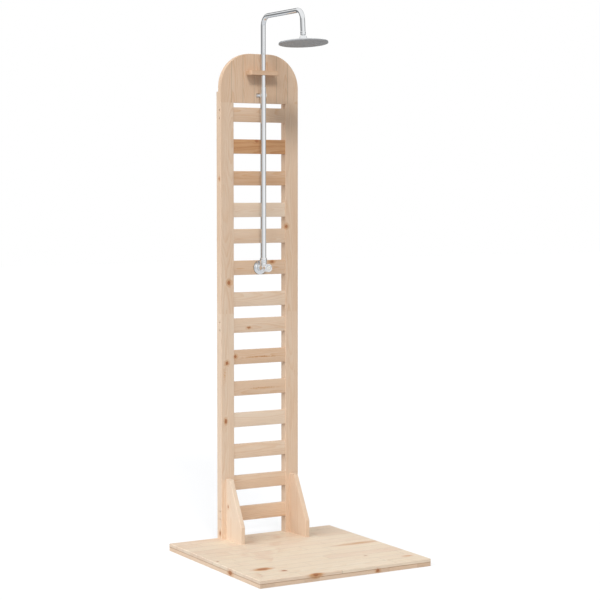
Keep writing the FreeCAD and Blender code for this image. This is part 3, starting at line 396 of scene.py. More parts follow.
def make_pine():
    """Planed pine: growth rings cut along the board, fibres, glued staves and knots.

    A piece gives its grain as a point's distance along the board, across it and into it.
    """
    look = bpy.context.scene.pine_look
    pine = Finish("planed_pine")
    along, across, depth = pine.split(pine.attribute("grain", "Vector"))
    seed = pine.attribute("seed")
    width = pine.attribute("stave_width")
    length = pine.attribute("stave_length")

    # which stave the point is in, and what chance gives that stave
    row_place = across / width
    row = pine.math("FLOOR", row_place)
    row_seed = seed.times_plus(7.31, row)
    row_chance = pine.take("ShaderNodeTexWhiteNoise", {"W": row_seed}, "Value",
                           noise_dimensions="1D")
    start = row_chance * pine.math("MINIMUM", length, 1.0)
    column_place = (along + start) / length
    column = pine.math("FLOOR", column_place)
    first, second, third = pine.split(pine.take(
        "ShaderNodeTexWhiteNoise", {"Vector": pine.join(row_seed, column, seed)}, "Color"))
    inside = (row + 0.5).times_plus(width * -1.0, across)
    shift = pine.join(first * 31.0, second * 47.0, seed)

    def drawn_out(along_scale, cross_scale, detail=2.0, roughness=0.5):
        """Noise that is drawn out along the stave."""
        place = pine.join(along * along_scale, inside * cross_scale, depth * cross_scale)
        return pine.noise(shift + place, 1.0, detail, roughness)

    # knots bend the rings round them
    point = pine.point()
    jitter = pine.noise(point, 160.0, output="Color") - grey(0.5)
    rough_point = point + pine.vector("SCALE", jitter, scale=0.007)
    group = new_knot_group()
    knot = nearest_of(pine, group, rough_point, KNOTS)
    streak = nearest_of(pine, group, rough_point, STREAKS)
    bulge = pine.spread(knot, 3.2, 0.4, 0.0, 0.006)

    # the pith wanders along the board, a few centimetres under its face
    slow_place = shift + pine.join(along * 1.7)
    slow = pine.split(pine.noise(slow_place, 1.0, 1.0, output="Color"))
    off_across = (first - 0.5).times_plus(0.06, inside)
    off_across = (slow[0] - 0.5).times_plus(0.075, off_across)
    off_depth = second.times_plus(0.05, depth + 0.012)
    off_depth = (slow[1] - 0.5).times_plus(0.06, off_depth)
    wave = drawn_out(9.0, 55.0)
    radius = pine.vector("LENGTH", pine.join(0.0, off_across, off_depth))
    radius = wave.times_plus(0.0035, radius + bulge)
    ring = pine.math("FRACT", radius / look.ring_pitch)
    late = pine.ramp(ring, (0.0, 0.12), (0.45, 0.2), (0.84, 0.9), (0.93, 1.0), (0.985, 0.25),
                     (1.0, 0.12))

    # fibres and slow clouds of colour
    fibre = drawn_out(14.0, 620.0, 3.0, 0.6)
    cloud = drawn_out(3.0, 28.0)
    tone = (third - 0.5).times_plus(pine.attribute("stave_spread"), pine.attribute("tone"))
    tone = (cloud - 0.5).times_plus(0.5, tone)
    tone = tone + pine.spread(streak, 1.3, 0.35, 0.0, 0.9)
    tone = tone + pine.spread(knot, 3.0, 0.9, 0.0, 0.5)
    palest = pine.mix(pine.spread(tone, 0.08, -0.22), look.pale, look.sap)
    tone = pine.math("MAXIMUM", pine.math("MINIMUM", tone, 1.3), 0.0)
    colour = pine.mix(tone, palest, look.warm)
    colour = pine.tint(late * tone.times_plus(0.45, 0.48), colour, (0.86, 0.7, 0.54))

    # warm boards show groups of close rings as broad stripes
    group_place = pine.math("FRACT", radius / (look.ring_pitch * 3.5))
    stripe = pine.spread(group_place, 0.35, 0.85) * pine.spread(group_place, 1.0, 0.9)
    stripe = stripe * pine.spread(tone, 0.4, 1.0, 0.0, 0.75)
    colour = pine.tint(stripe, colour, (0.8, 0.66, 0.52))

    # the fibres' light and shade, darker ends and the thin seams between staves
    shade = pine.spread(fibre, 0.3, 0.7, 0.93, 1.04)
    shade = shade * pine.attribute("end").times_plus(-0.07, 1.0)
    row_gap = pine.math("PINGPONG", row_place, 0.5) * width
    column_gap = pine.math("PINGPONG", column_place, 0.5) * length
    gap = pine.math("MINIMUM", row_gap, column_gap)
    shade = shade * pine.spread(gap, 0.0, 1.0 * MM, 0.42, 1.0)
    colour = pine.mix(1.0, colour, pine.join(shade, shade, shade), "MULTIPLY")

    # painted shade: the deck's lowest few millimetres turn brown where the groove between the deck and its battens
    # lies in shade
    joint = pine.attribute("joint") * pine.spread(depth, 3.4 * MM, 0.8 * MM, 0.0, 0.9)
    colour = pine.mix(joint, colour, (0.36, 0.2, 0.11))

    # the knots' own rings and dark rims
    knot_ring = pine.math("FRACT", knot * 3.5)
    knot_colour = pine.mix(knot_ring, look.knot, (0.44, 0.19, 0.08))
    return pine.dress({
        "Base Color": pine.mix(pine.spread(knot, 1.25, 0.8), colour, knot_colour),
        "Roughness": pine.spread(late, 0.0, 1.0, 0.62, 0.5), "Specular IOR Level": 0.35,
        "Normal": pine.bump(late.times_plus(0.6, fibre * 0.6), 0.00012, 0.6)})


def make_chrome():
    """Bright chrome with faint wipe marks."""
    chrome = Finish("bright_chrome")
    point = chrome.point()
    smear = chrome.noise(point * (90.0, 90.0, 22.0), 1.0, 4.0, 0.65)
    colour = bpy.context.scene.metal_look.chrome
    return chrome.dress({
        "Base Color": chrome.dapple(chrome.spread(smear, 0.3, 0.8), colour, 0.94),
        "Roughness": chrome.spread(smear, 0.35, 0.75, 0.045, 0.12), "Metallic": 1.0,
        "Normal": chrome.bump(chrome.noise(point, 420.0), 0.00001, 0.3)})


def make_spray_steel():
    """Satin grey steel, brushed round the middle of the spray plate."""
    steel = Finish("brushed_spray_steel")
    away = steel.point() - tuple(ball_centre)
    distance = steel.vector("LENGTH", away)
    turn = steel.vector("SCALE", steel.vector("NORMALIZE", away), scale=2.5)
    marks = steel.noise(turn + steel.join(distance * 2400.0), 1.0, 3.0, 0.7)
    colour = bpy.context.scene.metal_look.steel
    return steel.dress({
        "Base Color": steel.dapple(steel.spread(marks, 0.25, 0.75), colour, 0.75),
        "Roughness": steel.spread(marks, 0.2, 0.8, 0.58, 0.7), "Metallic": 0.45,
        "Specular IOR Level": 0.15, "Normal": steel.bump(marks, 0.00002, 0.5)})


def make_metal(name, colour, roughness):
    """Turned or drawn metal: fine marks along and across, and duller patches."""
    metal = Finish(name)
    point = metal.point()
    marks = metal.noise(point * (900.0, 2600.0, 900.0), 1.0, 3.0, 0.6)
    patches = metal.spread(metal.noise(point, 130.0, 3.0), 0.3, 0.7)
    return metal.dress({
        "Base Color": metal.dapple(patches, colour, 0.86), "Metallic": 1.0,
        "Roughness": metal.spread(marks, 0.2, 0.8, roughness - 0.07, roughness + 0.09),
        "Normal": metal.bump(marks, 0.00002, 0.4)})


def make_soft(name, colour, roughness):
    """Moulded rubber or plastic with a fine dull skin."""
    soft = Finish(name)
    point = soft.point()
    grain = soft.noise(point, 2600.0)
    cloud = soft.spread(soft.noise(point, 60.0), 0.3, 0.7)
    return soft.dress({
        "Base Color": soft.dapple(cloud, colour, 0.88),
        "Roughness": soft.spread(grain, 0.2, 0.8, roughness - 0.05, roughness + 0.07),
        "Normal": soft.bump(grain, 0.00003, 0.5)})


def make_finish(slot):
    look = bpy.context.scene.metal_look
    make, *details = {
        "pine": (make_pine,),
        "chrome": (make_chrome,),
        "spray_steel": (make_spray_steel,),
        "brass": (make_metal, "turned_brass", look.brass, 0.3),
        "screw_steel": (make_metal, "zinc_steel", (0.5, 0.49, 0.46), 0.36),
        "nozzle_rubber": (make_soft, "grey_rubber", look.rubber, 0.55),
        "seal_rubber": (make_soft, "black_rubber", (0.02, 0.02, 0.021), 0.5),
        "ring_plastic": (make_soft, "white_plastic", (0.78, 0.78, 0.75), 0.4),
        "cartridge_plastic": (make_soft, "blue_grey_plastic", (0.55, 0.57, 0.6), 0.42),
        "cap_plastic": (make_soft, "pale_plastic", (0.88, 0.87, 0.82), 0.2),
    }[slot]
    return make(*details)


finishes = {}


def get_finish(slot):
    """The material of one of the record's slots, made when it is first wanted."""
    if slot not in finishes:
        finishes[slot] = make_finish(slot)
    return finishes[slot]


# ---------------------------------------------------------------- geometry trees

class Growth(Nodes):
    """A new geometry tree with named inputs, the last of them its finish."""

    def __init__(self, name, floats, whole):
        super().__init__(bpy.data.node_groups.new(name, "GeometryNodeTree"))
        new_socket = self.tree.interface.new_socket
        sockets = [("Geometry", "Geometry"), *((label, "Float") for label in floats),
                   *((label, "Int") for label in whole), ("Finish", "Material")]
        for label, kind in sockets:
            socket = new_socket(label, in_out="INPUT", socket_type=f"NodeSocket{kind}")
            if kind == "Float":
                socket.subtype = "DISTANCE"
        new_socket("Geometry", in_out="OUTPUT", socket_type="NodeSocketGeometry")
        self.given = self.take_all("NodeGroupInput")

    def end(self, geometry):
        """Ends the tree in Realize Instances and Set Material."""
        real = self.take("GeometryNodeRealizeInstances", {"Geometry": geometry})
        self.add("NodeGroupOutput", {"Geometry": self.take("GeometryNodeSetMaterial", {
            "Geometry": real, "Material": self.given["Finish"]})})
        return self.tree

    def end_with_copies(self, points):
        """Ends the tree with a copy of the piece at each of the points."""
        return self.end(self.take("GeometryNodeInstanceOnPoints", {
            "Points": points, "Instance": self.given["Geometry"]}))


def new_slat_tree():
    """Puts a slat at every step down the tower, with two short steps."""
    slats = Growth(
        "slats", ("Top", "Pitch", "Short Pitch"), ("Slats", "First Short", "Second Short"))
    given = slats.given
    line = slats.take("GeometryNodeMeshLine", {
        "Count": given["Slats"], "Start Location": slats.join(z=given["Top"]),
        "Offset": slats.join(z=given["Pitch"] * -1.0)})
    number = slats.take("GeometryNodeInputIndex")
    after_first, after_second = (slats.math("GREATER_THAN", number, given[label] - 0.5)
                                 for label in ("First Short", "Second Short"))
    lift = (after_first + after_second) * (given["Pitch"] - given["Short Pitch"])
    return slats.end_with_copies(slats.take("GeometryNodeSetPosition", {
        "Geometry": line, "Offset": slats.join(z=lift)}))


def new_nozzle_tree(rings):
    """Puts a nozzle in the middle and on rings that each hold six more than the one inside."""
    nozzles = Growth("nozzles", ("Pitch",), ("In First Ring",))
    circles = [nozzles.take("GeometryNodeMeshLine", {"Count": 1})]
    for ring in range(1, rings + 1):
        circles.append(nozzles.take("GeometryNodeMeshCircle", {
            "Vertices": nozzles.given["In First Ring"] * float(ring),
            "Radius": nozzles.given["Pitch"] * float(ring)}))
    together = nozzles.add("GeometryNodeJoinGeometry")
    for circle in circles:
        nozzles.feed(together.inputs["Geometry"], circle)
    return nozzles.end_with_copies(Wire(nozzles, together.outputs["Geometry"]))


def new_screw_tree():
    """Puts the screws of the clip in a row."""
    screws = Growth("clip screws", ("Spread",), ("Screws",))
    spread, count = screws.given["Spread"], screws.given["Screws"]
    return screws.end_with_copies(screws.take("GeometryNodeMeshLine", {
        "Count": count, "Offset": screws.join(spread * 2.0 / (count - 1.0)),
        "Start Location": screws.join(spread * -1.0)}))


def new_tube_tree():
    """Bends a closed round tube along the corners of its route."""
    tube = Growth("bent tube", ("Radius", "Bend"), ("Sides", "Steps"))
    given = tube.given
    route = tube.take("GeometryNodeMeshToCurve", {"Mesh": given["Geometry"]})
    bent = tube.take("GeometryNodeFilletCurve", {
        "Curve": route, "Count": given["Steps"], "Radius": given["Bend"]}, mode="POLY")
    circle = tube.take("GeometryNodeCurvePrimitiveCircle", {
        "Resolution": given["Sides"], "Radius": given["Radius"]})
    return tube.end(tube.take("GeometryNodeCurveToMesh", {
        "Curve": bent, "Profile Curve": circle, "Fill Caps": True}))


def link_object(name, data):
    thing = bpy.data.objects.new(name, data)
    bpy.context.scene.collection.objects.link(thing)
    return thing


def grow(name, start, tree, slot, **values):
    """A piece whose plain mesh is what a geometry tree makes of a start mesh."""
    thing = link_object(name, start)
    modifier = thing.modifiers.new(tree.name, "NODES")
    modifier.node_group = tree
    values["finish"] = get_finish(slot)
    for item in tree.interface.items_tree:
        key = item.name.lower().replace(" ", "_")
        if item.item_type == "SOCKET" and item.in_out == "INPUT" and key in values:
            modifier[item.identifier] = values[key]
    depsgraph = bpy.context.evaluated_depsgraph_get()
    mesh = bpy.data.meshes.new_from_object(thing.evaluated_get(depsgraph), depsgraph=depsgraph)
    thing.modifiers.clear()
    thing.data = mesh
    bpy.data.meshes.remove(start)
    if not mesh.vertices:
        raise RuntimeError(f"{thing.name}: its geometry tree made nothing")
    return thing


# ---------------------------------------------------------------- meshes

def stand_for(thing, body, slot, *nodes):
    """Lets a piece ride on a body and stand for nodes of the frame."""
    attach(thing, body)
    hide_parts(*nodes)


def new_piece(name, mesh, body, slot, *nodes):
    """A piece of the object, in its finish."""
    thing = link_object(name, mesh)
    mesh.name = name
    if not mesh.materials:
        mesh.materials.append(get_finish(slot))
    stand_for(thing, body, slot, *nodes)
    return thing


def smooth(mesh, angle=35.0):
    mesh.shade_smooth()
    mesh.set_sharp_from_angle(angle=math.radians(angle))


def finish_work(work, mesh):
    """Writes a worked shape to a mesh."""
    work.to_mesh(mesh)
    work.free()
    return mesh


def merged_copy(node, name):
    """A new mesh of a node of the frame, its loose triangles joined into whole faces."""
    work = bmesh.new()
    work.from_mesh(frame["nodes"][node].data)
    bmesh.ops.remove_doubles(work, verts=work.verts, dist=0.01 * MM)
    bmesh.ops.dissolve_limit(work, angle_limit=math.radians(0.5), verts=work.verts,
                             edges=work.edges)
    mesh = finish_work(work, bpy.data.meshes.new(name))
    if "custom_normal" in mesh.attributes:
        mesh.attributes.remove(mesh.attributes["custom_normal"])
    return mesh


def turn_outwards(mesh):
    work = bmesh.new()
    work.from_mesh(mesh)
    bmesh.ops.recalc_face_normals(work, faces=work.faces)
    finish_work(work, mesh)


def joined(name, *meshes):
    """One mesh of several."""
    work = bmesh.new()
    for mesh in meshes:
        work.from_mesh(mesh)
    mesh = finish_work(work, bpy.data.meshes.new(name))
    smooth(mesh)
    return mesh


def add_bevel(thing, width, angle=30.0):
    bevel = thing.modifiers.new("eased edges", "BEVEL")
    bevel.width = width
    bevel.segments = 2
    bevel.limit_method = "ANGLE"
    bevel.angle_limit = math.radians(angle)
    bevel.harden_normals = True


def write_marks(mesh, name, values, kind="FLOAT", domain="POINT"):
    layer = mesh.attributes.new(name, kind, domain)
    layer.data.foreach_set("vector" if kind == "FLOAT_VECTOR" else "value", values)


def mark_grain(mesh, axes, boards, staves=None, spread=0.0):
    """Writes what the pine reads. axes names the axes along, across and into the board.

    boards gives, for every board that the mesh holds, its points' range, its lowest and
    highest corner, its tone and its seed. staves is a stave's width and length.
    """
    along, across, depth = ("xyz".index(axis) for axis in axes)
    grain = []
    marks = {"tone": [], "seed": [], "stave_width": [], "stave_length": [], "stave_spread": []}
    for points, low, high, tone, seed in boards:
        width = high[across] - low[across]
        stave_width, stave_length = staves or (width, ENDLESS_STAVE)
        stave_width = (width + STAVE_MARGIN * 2) / max(round(width / stave_width), 1)
        for index in points:
            place = mesh.vertices[index].co
            grain += [place[along] - low[along], place[across] - low[across] + STAVE_MARGIN,
                      place[depth] - low[depth]]
        for name, value in zip(marks, (tone, seed, stave_width, stave_length, spread)):
            marks[name] += [value] * len(points)
    write_marks(mesh, "grain", grain, "FLOAT_VECTOR")
    for name, values in marks.items():
        write_marks(mesh, name, values)
    write_marks(mesh, "end", [1.0 if abs(face.normal[along]) > 0.8 else 0.0
                               for face in mesh.polygons], domain="FACE")


def new_board(node, axes, tone, seed, staves=None, spread=0.0):
    """A copy of one of the frame's boards, with eased edges and its grain marked."""
    mesh = merged_copy(node, f"{node}_board")
    low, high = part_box(node)
    mark_grain(mesh, axes, [(range(len(mesh.vertices)), low, high, tone, seed)], staves, spread)
    board = new_piece(f"{node}_board", mesh, "post", "pine", node)
    add_bevel(board, bpy.context.scene.pine_look.easing)
    return board


def arch_outline(low, high, radius, inset, steps=20):
    """The outline of the arched panel, over its top from the left foot to the right foot."""
    reach = radius - inset
    top = high.z - inset
    line = [(low.x + inset, low.z)]
    for middle, start in ((low.x + radius, 180), (high.x - radius, 90)):
        for step in range(steps + 1):
            angle = math.radians(start - 90 * step / steps)
            line.append((middle + reach * math.cos(angle), top - reach + reach * math.sin(angle)))
    line.append((high.x - inset, low.z))
    return line


def bow(start, end, radius, steps=6):
    """Points between two corners on an arc that bulges to the left of start to end."""
    (x0, z0), (x1, z1) = start, end
    half = math.hypot(x1 - x0, z1 - z0) / 2
    middle = Vector(((x0 + x1) / 2, (z0 + z1) / 2))
    aside = Vector((-(z1 - z0), x1 - x0)).normalized()
    rise = math.sqrt(radius * radius - half * half) * (1 if radius > 0 else -1)
    centre = middle - aside * rise
    first = Vector((x0, z0)) - centre
    sweep = Vector((x1, z1)) - centre
    angle = first.angle_signed(sweep)
    points = []
    for step in range(1, steps):
        turned = Matrix.Rotation(-angle * step / steps, 2) @ first
        points.append((centre.x + turned.x, centre.y + turned.y))
    return points


def on_sphere(radius, start, end, steps):
    """Points round the ball's centre, their angles measured from straight up."""
    angles = [math.radians(start + (end - start) * step / steps) for step in range(steps + 1)]
    return [(radius * math.sin(angle), radius * math.cos(angle)) for angle in angles]


def rounded(corners, loop):
    """Corners are a radius, a height and perhaps a rounding, in millimetres."""
    line = []
    for index, corner in enumerate(corners):
        here = Vector(corner[:2])
        is_end = not loop and index in (0, len(corners) - 1)
        if len(corner) < 3 or is_end:
            line.append(here)
            continue
        back = Vector(corners[index - 1][:2]) - here
        ahead = Vector(corners[(index + 1) % len(corners)][:2]) - here
        cut = min(corner[2], back.length * 0.49, ahead.length * 0.49)
        first = here + back.normalized() * cut
        last = here + ahead.normalized() * cut
        for step in range(ROUNDING_STEPS + 1):
            part = step / ROUNDING_STEPS
            line.append(first * (1 - part) ** 2 + here * 2 * part * (1 - part) + last * part ** 2)
    return line


def lathe(name, corners, place, loop=False, segments=64):
    """A turned mesh. A loop's corners go round a section; else they go from axis to axis."""
    mesh = bpy.data.meshes.new(name)
    points, rings, faces = [], [], []
    for radius, height in rounded(corners, loop):
        count = segments if radius > 1e-6 else 1
        rings.append([len(points) + step for step in range(count)])
        for step in range(count):
            angle = math.tau * step / segments
            points.append((radius * math.cos(angle), radius * math.sin(angle), height))
    following = rings[1:] + rings[:1] if loop else rings[1:]
    for low, high in zip(rings, following):
        for step in range(segments):
            after = (step + 1) % segments
            corner_ring = [low[step % len(low)], low[after % len(low)],
                           high[after % len(high)], high[step % len(high)]]
            face = list(dict.fromkeys(corner_ring))
            if len(face) > 2:
                faces.append(face)
    mesh.from_pydata(points, [], faces)
    mesh.transform(place @ Matrix.Scale(MM, 4))
    turn_outwards(mesh)
    smooth(mesh)
    return mesh


def new_turned(name, corners, place, body, slot, node, loop=True, segments=64):
    """A turned piece that stands for one node of the frame."""
    mesh = lathe(name, corners, place, loop, segments)
    return new_piece(name, mesh, body, slot, node)


def upright_at(x, y, z=0.0):
    return Matrix.Translation((x, y, z))


def along_valve():
    """Turned pieces of the valve: their heights are places along Y."""
    turn = Matrix.Rotation(math.radians(-90), 4, "X")
    return Matrix.Translation((riser_axis.x, 0.0, valve_level)) @ turn


def along_drop():
    """Turned pieces under the arm: their heights are measured from the ball's centre."""
    return Matrix.Translation(ball_centre) @ drop_axis.to_track_quat("Z", "Y").to_matrix().to_4x4()


# ---------------------------------------------------------------- operators

class SHOWER_OT_tray(bpy.types.Operator):
    """The tray: a board of glued staves on battens and rails"""

    bl_idname = "shower.tray"
    bl_label = "Tray"

    def execute(self, context):
        look = context.scene.pine_look
        staves = (look.stave_width, look.stave_length)
        boards = [new_board("deck_panel", "xyz", -0.12, 3.0, staves, 0.62)]
        for number in range(1, 5):
            tone = 0.2 + 0.05 * number
            boards.append(new_board(f"tray_batten_{number}", "yxz", tone, 10.0 + number))
        for number in range(1, 4):
            boards.append(new_board(f"front_filler_{number}", "xyz", 0.24, 20.0 + number))
            boards.append(new_board(f"back_filler_{number}", "xyz", 0.3, 30.0 + number))
        for board in boards:
            board.modifiers["eased edges"].width = look.tray_easing
        # only the deck carries the painted shade of the groove over its battens
        deck = boards[0].data
        write_marks(deck, "joint", [1.0] * len(deck.vertices))
        return {"FINISHED"}


class SHOWER_OT_tower(bpy.types.Operator):
    """The tower's frame: posts, arched panel, wedges and the small shelf"""

    bl_idname = "shower.tower"
    bl_label = "Tower"

    def execute(self, context):
        posts = (("upper_post_left", 0.26), ("upper_post_right", 0.34),
                 ("lower_post_left", 0.16), ("lower_post_right", 0.26))
        for number, (node, tone) in enumerate(posts, 41):
            new_board(node, "zxy", tone, float(number))
        self.build_arch(context)
        new_board("wedge_left", "zyx", 0.05, 46.0)
        new_board("wedge_right", "zyx", 0.2, 47.0)
        new_board("pipe_shelf", "xyz", 0.55, 48.0)
        return {"FINISHED"}

    def build_arch(self, context):
        """The panel with its round upper corners and a chamfer round its face."""
        radius = context.scene.shower_sizes.arch_radius
        staves = (context.scene.pine_look.arch_stave_width, ENDLESS_STAVE)
        low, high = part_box("arch_panel")
        points, faces = [], []
        for inset, y in ((CHAMFER, low.y), (0.0, low.y + CHAMFER), (0.0, high.y)):
            points += [(x, y, z) for x, z in arch_outline(low, high, radius, inset)]
        count = len(points) // 3
        for ring in (0, count):
            for step in range(count):
                low_pair = (ring + step, ring + (step + 1) % count)
                faces.append((*low_pair, low_pair[1] + count, low_pair[0] + count))
        faces += [list(range(count)), list(range(count * 2, count * 3))]
        mesh = bpy.data.meshes.new("arch_panel_board")
        mesh.from_pydata(points, [], faces)
        turn_outwards(mesh)
        smooth(mesh, 25.0)
        mark_grain(mesh, "zxy", [(range(len(points)), low, high, 0.36, 45.0)], staves, 0.22)
        new_piece("arch_panel_board", mesh, "post", "pine", "arch_panel")


class SHOWER_OT_slats(bpy.types.Operator):
    """The slats between the posts"""

    bl_idname = "shower.slats"
    bl_label = "Slats"

    def execute(self, context):
        sizes = context.scene.shower_sizes
        start = self.new_slat()
        count = len(start.vertices)
        top_low, top_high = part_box("slat_01")
        slats = grow("slats", start, new_slat_tree(), "pine", slats=sizes.slat_count,
                     pitch=sizes.slat_pitch, short_pitch=sizes.slat_short_pitch, first_short=4,
                     second_short=7, top=(top_low.z + top_high.z) / 2)
        boards = []
        for number in range(sizes.slat_count):
            points = range(number * count, (number + 1) * count)
            levels = [slats.data.vertices[index].co.z for index in points]
            low = Vector((slat_low.x, slat_low.y, min(levels)))
            high = Vector((slat_high.x, slat_high.y, max(levels)))
            tone = SLAT_TONES[number % len(SLAT_TONES)]
            boards.append((points, low, high, tone, 60.0 + number))
        mark_grain(slats.data, "xzy", boards)
        stand_for(slats, "post", "pine",
                  *(f"slat_{number:02d}" for number in range(1, sizes.slat_count + 1)))
        return {"FINISHED"}

    def new_slat(self):
        """One slat with rounded long edges, and a tenon at each end."""
        middle = Vector(((post_edge + other_post_edge) / 2, (slat_low.y + slat_high.y) / 2, 0.0))
        work = bmesh.new()
        self.add_block(work, middle, other_post_edge - post_edge, slat_high.y - slat_low.y,
                       slat_high.z - slat_low.z)
        long_edges = [edge for edge in work.edges
                      if abs(edge.verts[0].co.x - edge.verts[1].co.x) > 0.1]
        bmesh.ops.bevel(work, geom=long_edges, offset=1.4 * MM, segments=3, profile=0.5,
                        affect="EDGES")
        for end in (slat_low.x, slat_high.x):
            inner = post_edge if end < middle.x else other_post_edge
            tenon = Vector(((end + inner) / 2, middle.y, 0.0))
            self.add_block(work, tenon, abs(inner - end) + 2 * MM, TENON_DEPTH, TENON_HEIGHT)
        mesh = finish_work(work, bpy.data.meshes.new("slats"))
        smooth(mesh, 50.0)
        return mesh

    def add_block(self, work, middle, *size):
        bmesh.ops.create_cube(work, size=1.0, matrix=Matrix.LocRotScale(middle, None, size))


class SHOWER_OT_riser(bpy.types.Operator):
    """The riser: lower tube, its nut, and the clip with its screws"""

    bl_idname = "shower.riser"
    bl_label = "Riser"

    def execute(self, context):
        sizes = context.scene.shower_sizes
        place = upright_at(riser_axis.x, riser_axis.y)
        outer = sizes.riser_radius / MM
        inner = sizes.arm_radius / MM + 0.05
        foot, top = riser_low.z / MM, riser_high.z / MM
        new_turned("riser", [
            (inner, foot), (outer, foot), (outer, top, 0.8), (inner, top, 0.4)],
            place, "post", "chrome", "riser_tube")

        nut_low, nut_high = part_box("riser_nut")
        foot, top = nut_low.z / MM, nut_high.z / MM
        nut_radius = (nut_high.x - nut_low.x) / MM / 2
        waist = nut_radius - 0.7
        new_turned("coupling_nut", [
            (outer + 0.05, foot), (nut_radius - 0.6, foot, 0.4), (nut_radius, foot + 1.2, 0.6),
            (nut_radius, foot + 5.0, 0.3), (waist, foot + 5.6, 0.2), (waist, foot + 6.6, 0.2),
            (nut_radius, foot + 7.2, 0.3), (nut_radius, top - 2.4, 1.6),
            (outer + 0.6, top, 0.5), (outer + 0.05, top)], place, "post", "chrome", "riser_nut")

        clip = merged_copy("pipe_clip", "clip")
        smooth(clip, 30.0)
        clip = new_piece("clip", clip, "post", "chrome", "pipe_clip")
        add_bevel(clip, 0.35 * MM, 40.0)

        low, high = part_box("clip_screws")
        head_radius = (high.z - low.z) / 2 / MM
        head = lathe("clip_screw_heads", [
            (0.0, 15.0), (1.2, 15.0), (1.4, 13.5), (1.4, 0.0), (head_radius, 0.0, 0.2),
            (head_radius, -0.7, 0.4), (head_radius - 0.9, -1.55, 0.5), (1.3, -1.75, 0.1),
            (1.1, -0.8), (0.0, -0.8)], Matrix.Rotation(math.radians(-90), 4, "X"), segments=32)
        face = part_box("pipe_clip")[1].y - 3 * MM
        screws = grow("clip_screw_heads", head, new_screw_tree(), "chrome", screws=2,
                      spread=(high.x - low.x) / 2 - head_radius * MM)
        screws.data.transform(upright_at(riser_axis.x, face, (low.z + high.z) / 2))
        smooth(screws.data)
        stand_for(screws, "post", "chrome", "clip_screws")
        return {"FINISHED"}


def refinish_wall(mesh, place, finish, radius, low, high):
    """Gives a turned shape's faces beyond a radius and between two levels a second finish."""
    mesh.materials.append(get_finish(finish))
    back = place.inverted()
    for face in mesh.polygons:
        middle = back @ face.center
        if middle.xy.length > radius * MM and low * MM < middle.z < high * MM:
            face.material_index = 1


class SHOWER_OT_valve(bpy.types.Operator):
    """The valve: body with its upright outlet, rosette and bonnet"""

    bl_idname = "shower.valve"
    bl_label = "Valve"

    def execute(self, context):
        place = along_valve()
        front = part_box("valve_body")[0].y / MM
        wall = rosette_high.y / MM
        dome = rosette_low.y / MM
        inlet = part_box("valve_body")[1].y / MM
        body = lathe("valve", [
            (0.0, front + 21.0), (11.5, front + 21.0), (11.5, front), (15.0, front, 1.0),
            (15.0, dome), (12.0, dome), (12.0, inlet - 10.0), (10.48, inlet - 10.0),
            (10.48, inlet, 0.6), (7.0, inlet, 0.4), (7.0, front + 29.0), (0.0, front + 29.0)],
            place)
        nut_foot = (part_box("riser_nut")[0].z - valve_level) / MM
        outlet = lathe("outlet", [
            (0.0, 0.0), (14.5, 0.0), (14.5, nut_foot, 0.9), (12.05, nut_foot),
            (12.05, nut_foot - 4.0), (9.0, nut_foot - 4.0), (9.0, nut_foot - 9.0),
            (0.0, nut_foot - 9.0)], upright_at(riser_axis.x, riser_axis.y, valve_level))
        new_piece("valve", joined("valve", body, outlet), "post", "chrome", "valve_body")

        radius = context.scene.shower_sizes.rosette_radius / MM
        rim = (radius, wall - 3.6)
        crown = (16.5, dome)
        cover = new_turned("rosette_cover", [
            (12.05, wall), (radius, wall), (*rim, 0.5), *bow(rim, crown, -40.0, 8), crown,
            (15.2, dome), (15.2, dome + 1.2), (12.05, dome + 1.2)],
            place, "post", "chrome", "rosette", segments=96)
        # painted shade: the rosette's upright edge is given black rubber, a dark band that stands for the shadow
        # round its edge
        refinish_wall(cover.data, place, "seal_rubber", radius - 0.2, rim[1] - 0.1, wall + 0.1)

        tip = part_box("bonnet")[0].y / MM
        new_turned("bonnet_ring", [
            (11.5, front), (13.5, front, 0.3), (13.5, front - 3.0, 0.3), (13.1, front - 3.4, 0.2),
            (13.1, front - 4.2, 0.2), (13.5, front - 4.6, 0.3), (13.5, tip + 1.6, 1.0),
            (11.6, tip, 0.8), (4.5, tip, 0.3), (4.5, tip + 6.0), (11.5, tip + 6.0)],
            place, "post", "chrome", "bonnet")
        return {"FINISHED"}


class SHOWER_OT_knob(bpy.types.Operator):
    """The round knob and the cap in its face"""

    bl_idname = "shower.knob"
    bl_label = "Knob"

    def execute(self, context):
        place = along_valve()
        low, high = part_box("knob")
        front, back = low.y / MM, high.y / MM
        shoulder = (17.0, front + 2.5)
        edge = (14.5, front)
        new_turned("turning_knob", [
            (4.1, back), (14.5, back, 0.6), (17.0, back - 5.1, 1.5), (17.0, back - 7.0, 0.3),
            (16.6, back - 7.5, 0.2), (16.6, back - 8.3, 0.2), (17.0, back - 8.8, 0.3),
            shoulder, *bow(shoulder, edge, -2.6), edge, (12.6, front, 0.5),
            (11.8, front + 0.5, 0.4), (9.9, front + 0.5, 0.2), (9.1, front + 0.5),
            (9.1, front + 2.2), (3.6, front + 2.2), (3.6, front + 4.7), (1.8, front + 4.7),
            (1.8, front + 11.0), (4.1, front + 11.0)],
            place, "tap", "chrome", "knob", segments=96)
        cap_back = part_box("knob_cap")[1].y / MM
        new_turned("knob_cover", [
            (0.0, front + 0.35), (5.0, front + 0.25), (7.9, front + 0.3, 0.6),
            (9.0, front + 0.9, 0.5), (9.0, cap_back), (0.0, cap_back)],
            place, "tap", "cap_plastic", "knob_cap", loop=False)
        return {"FINISHED"}


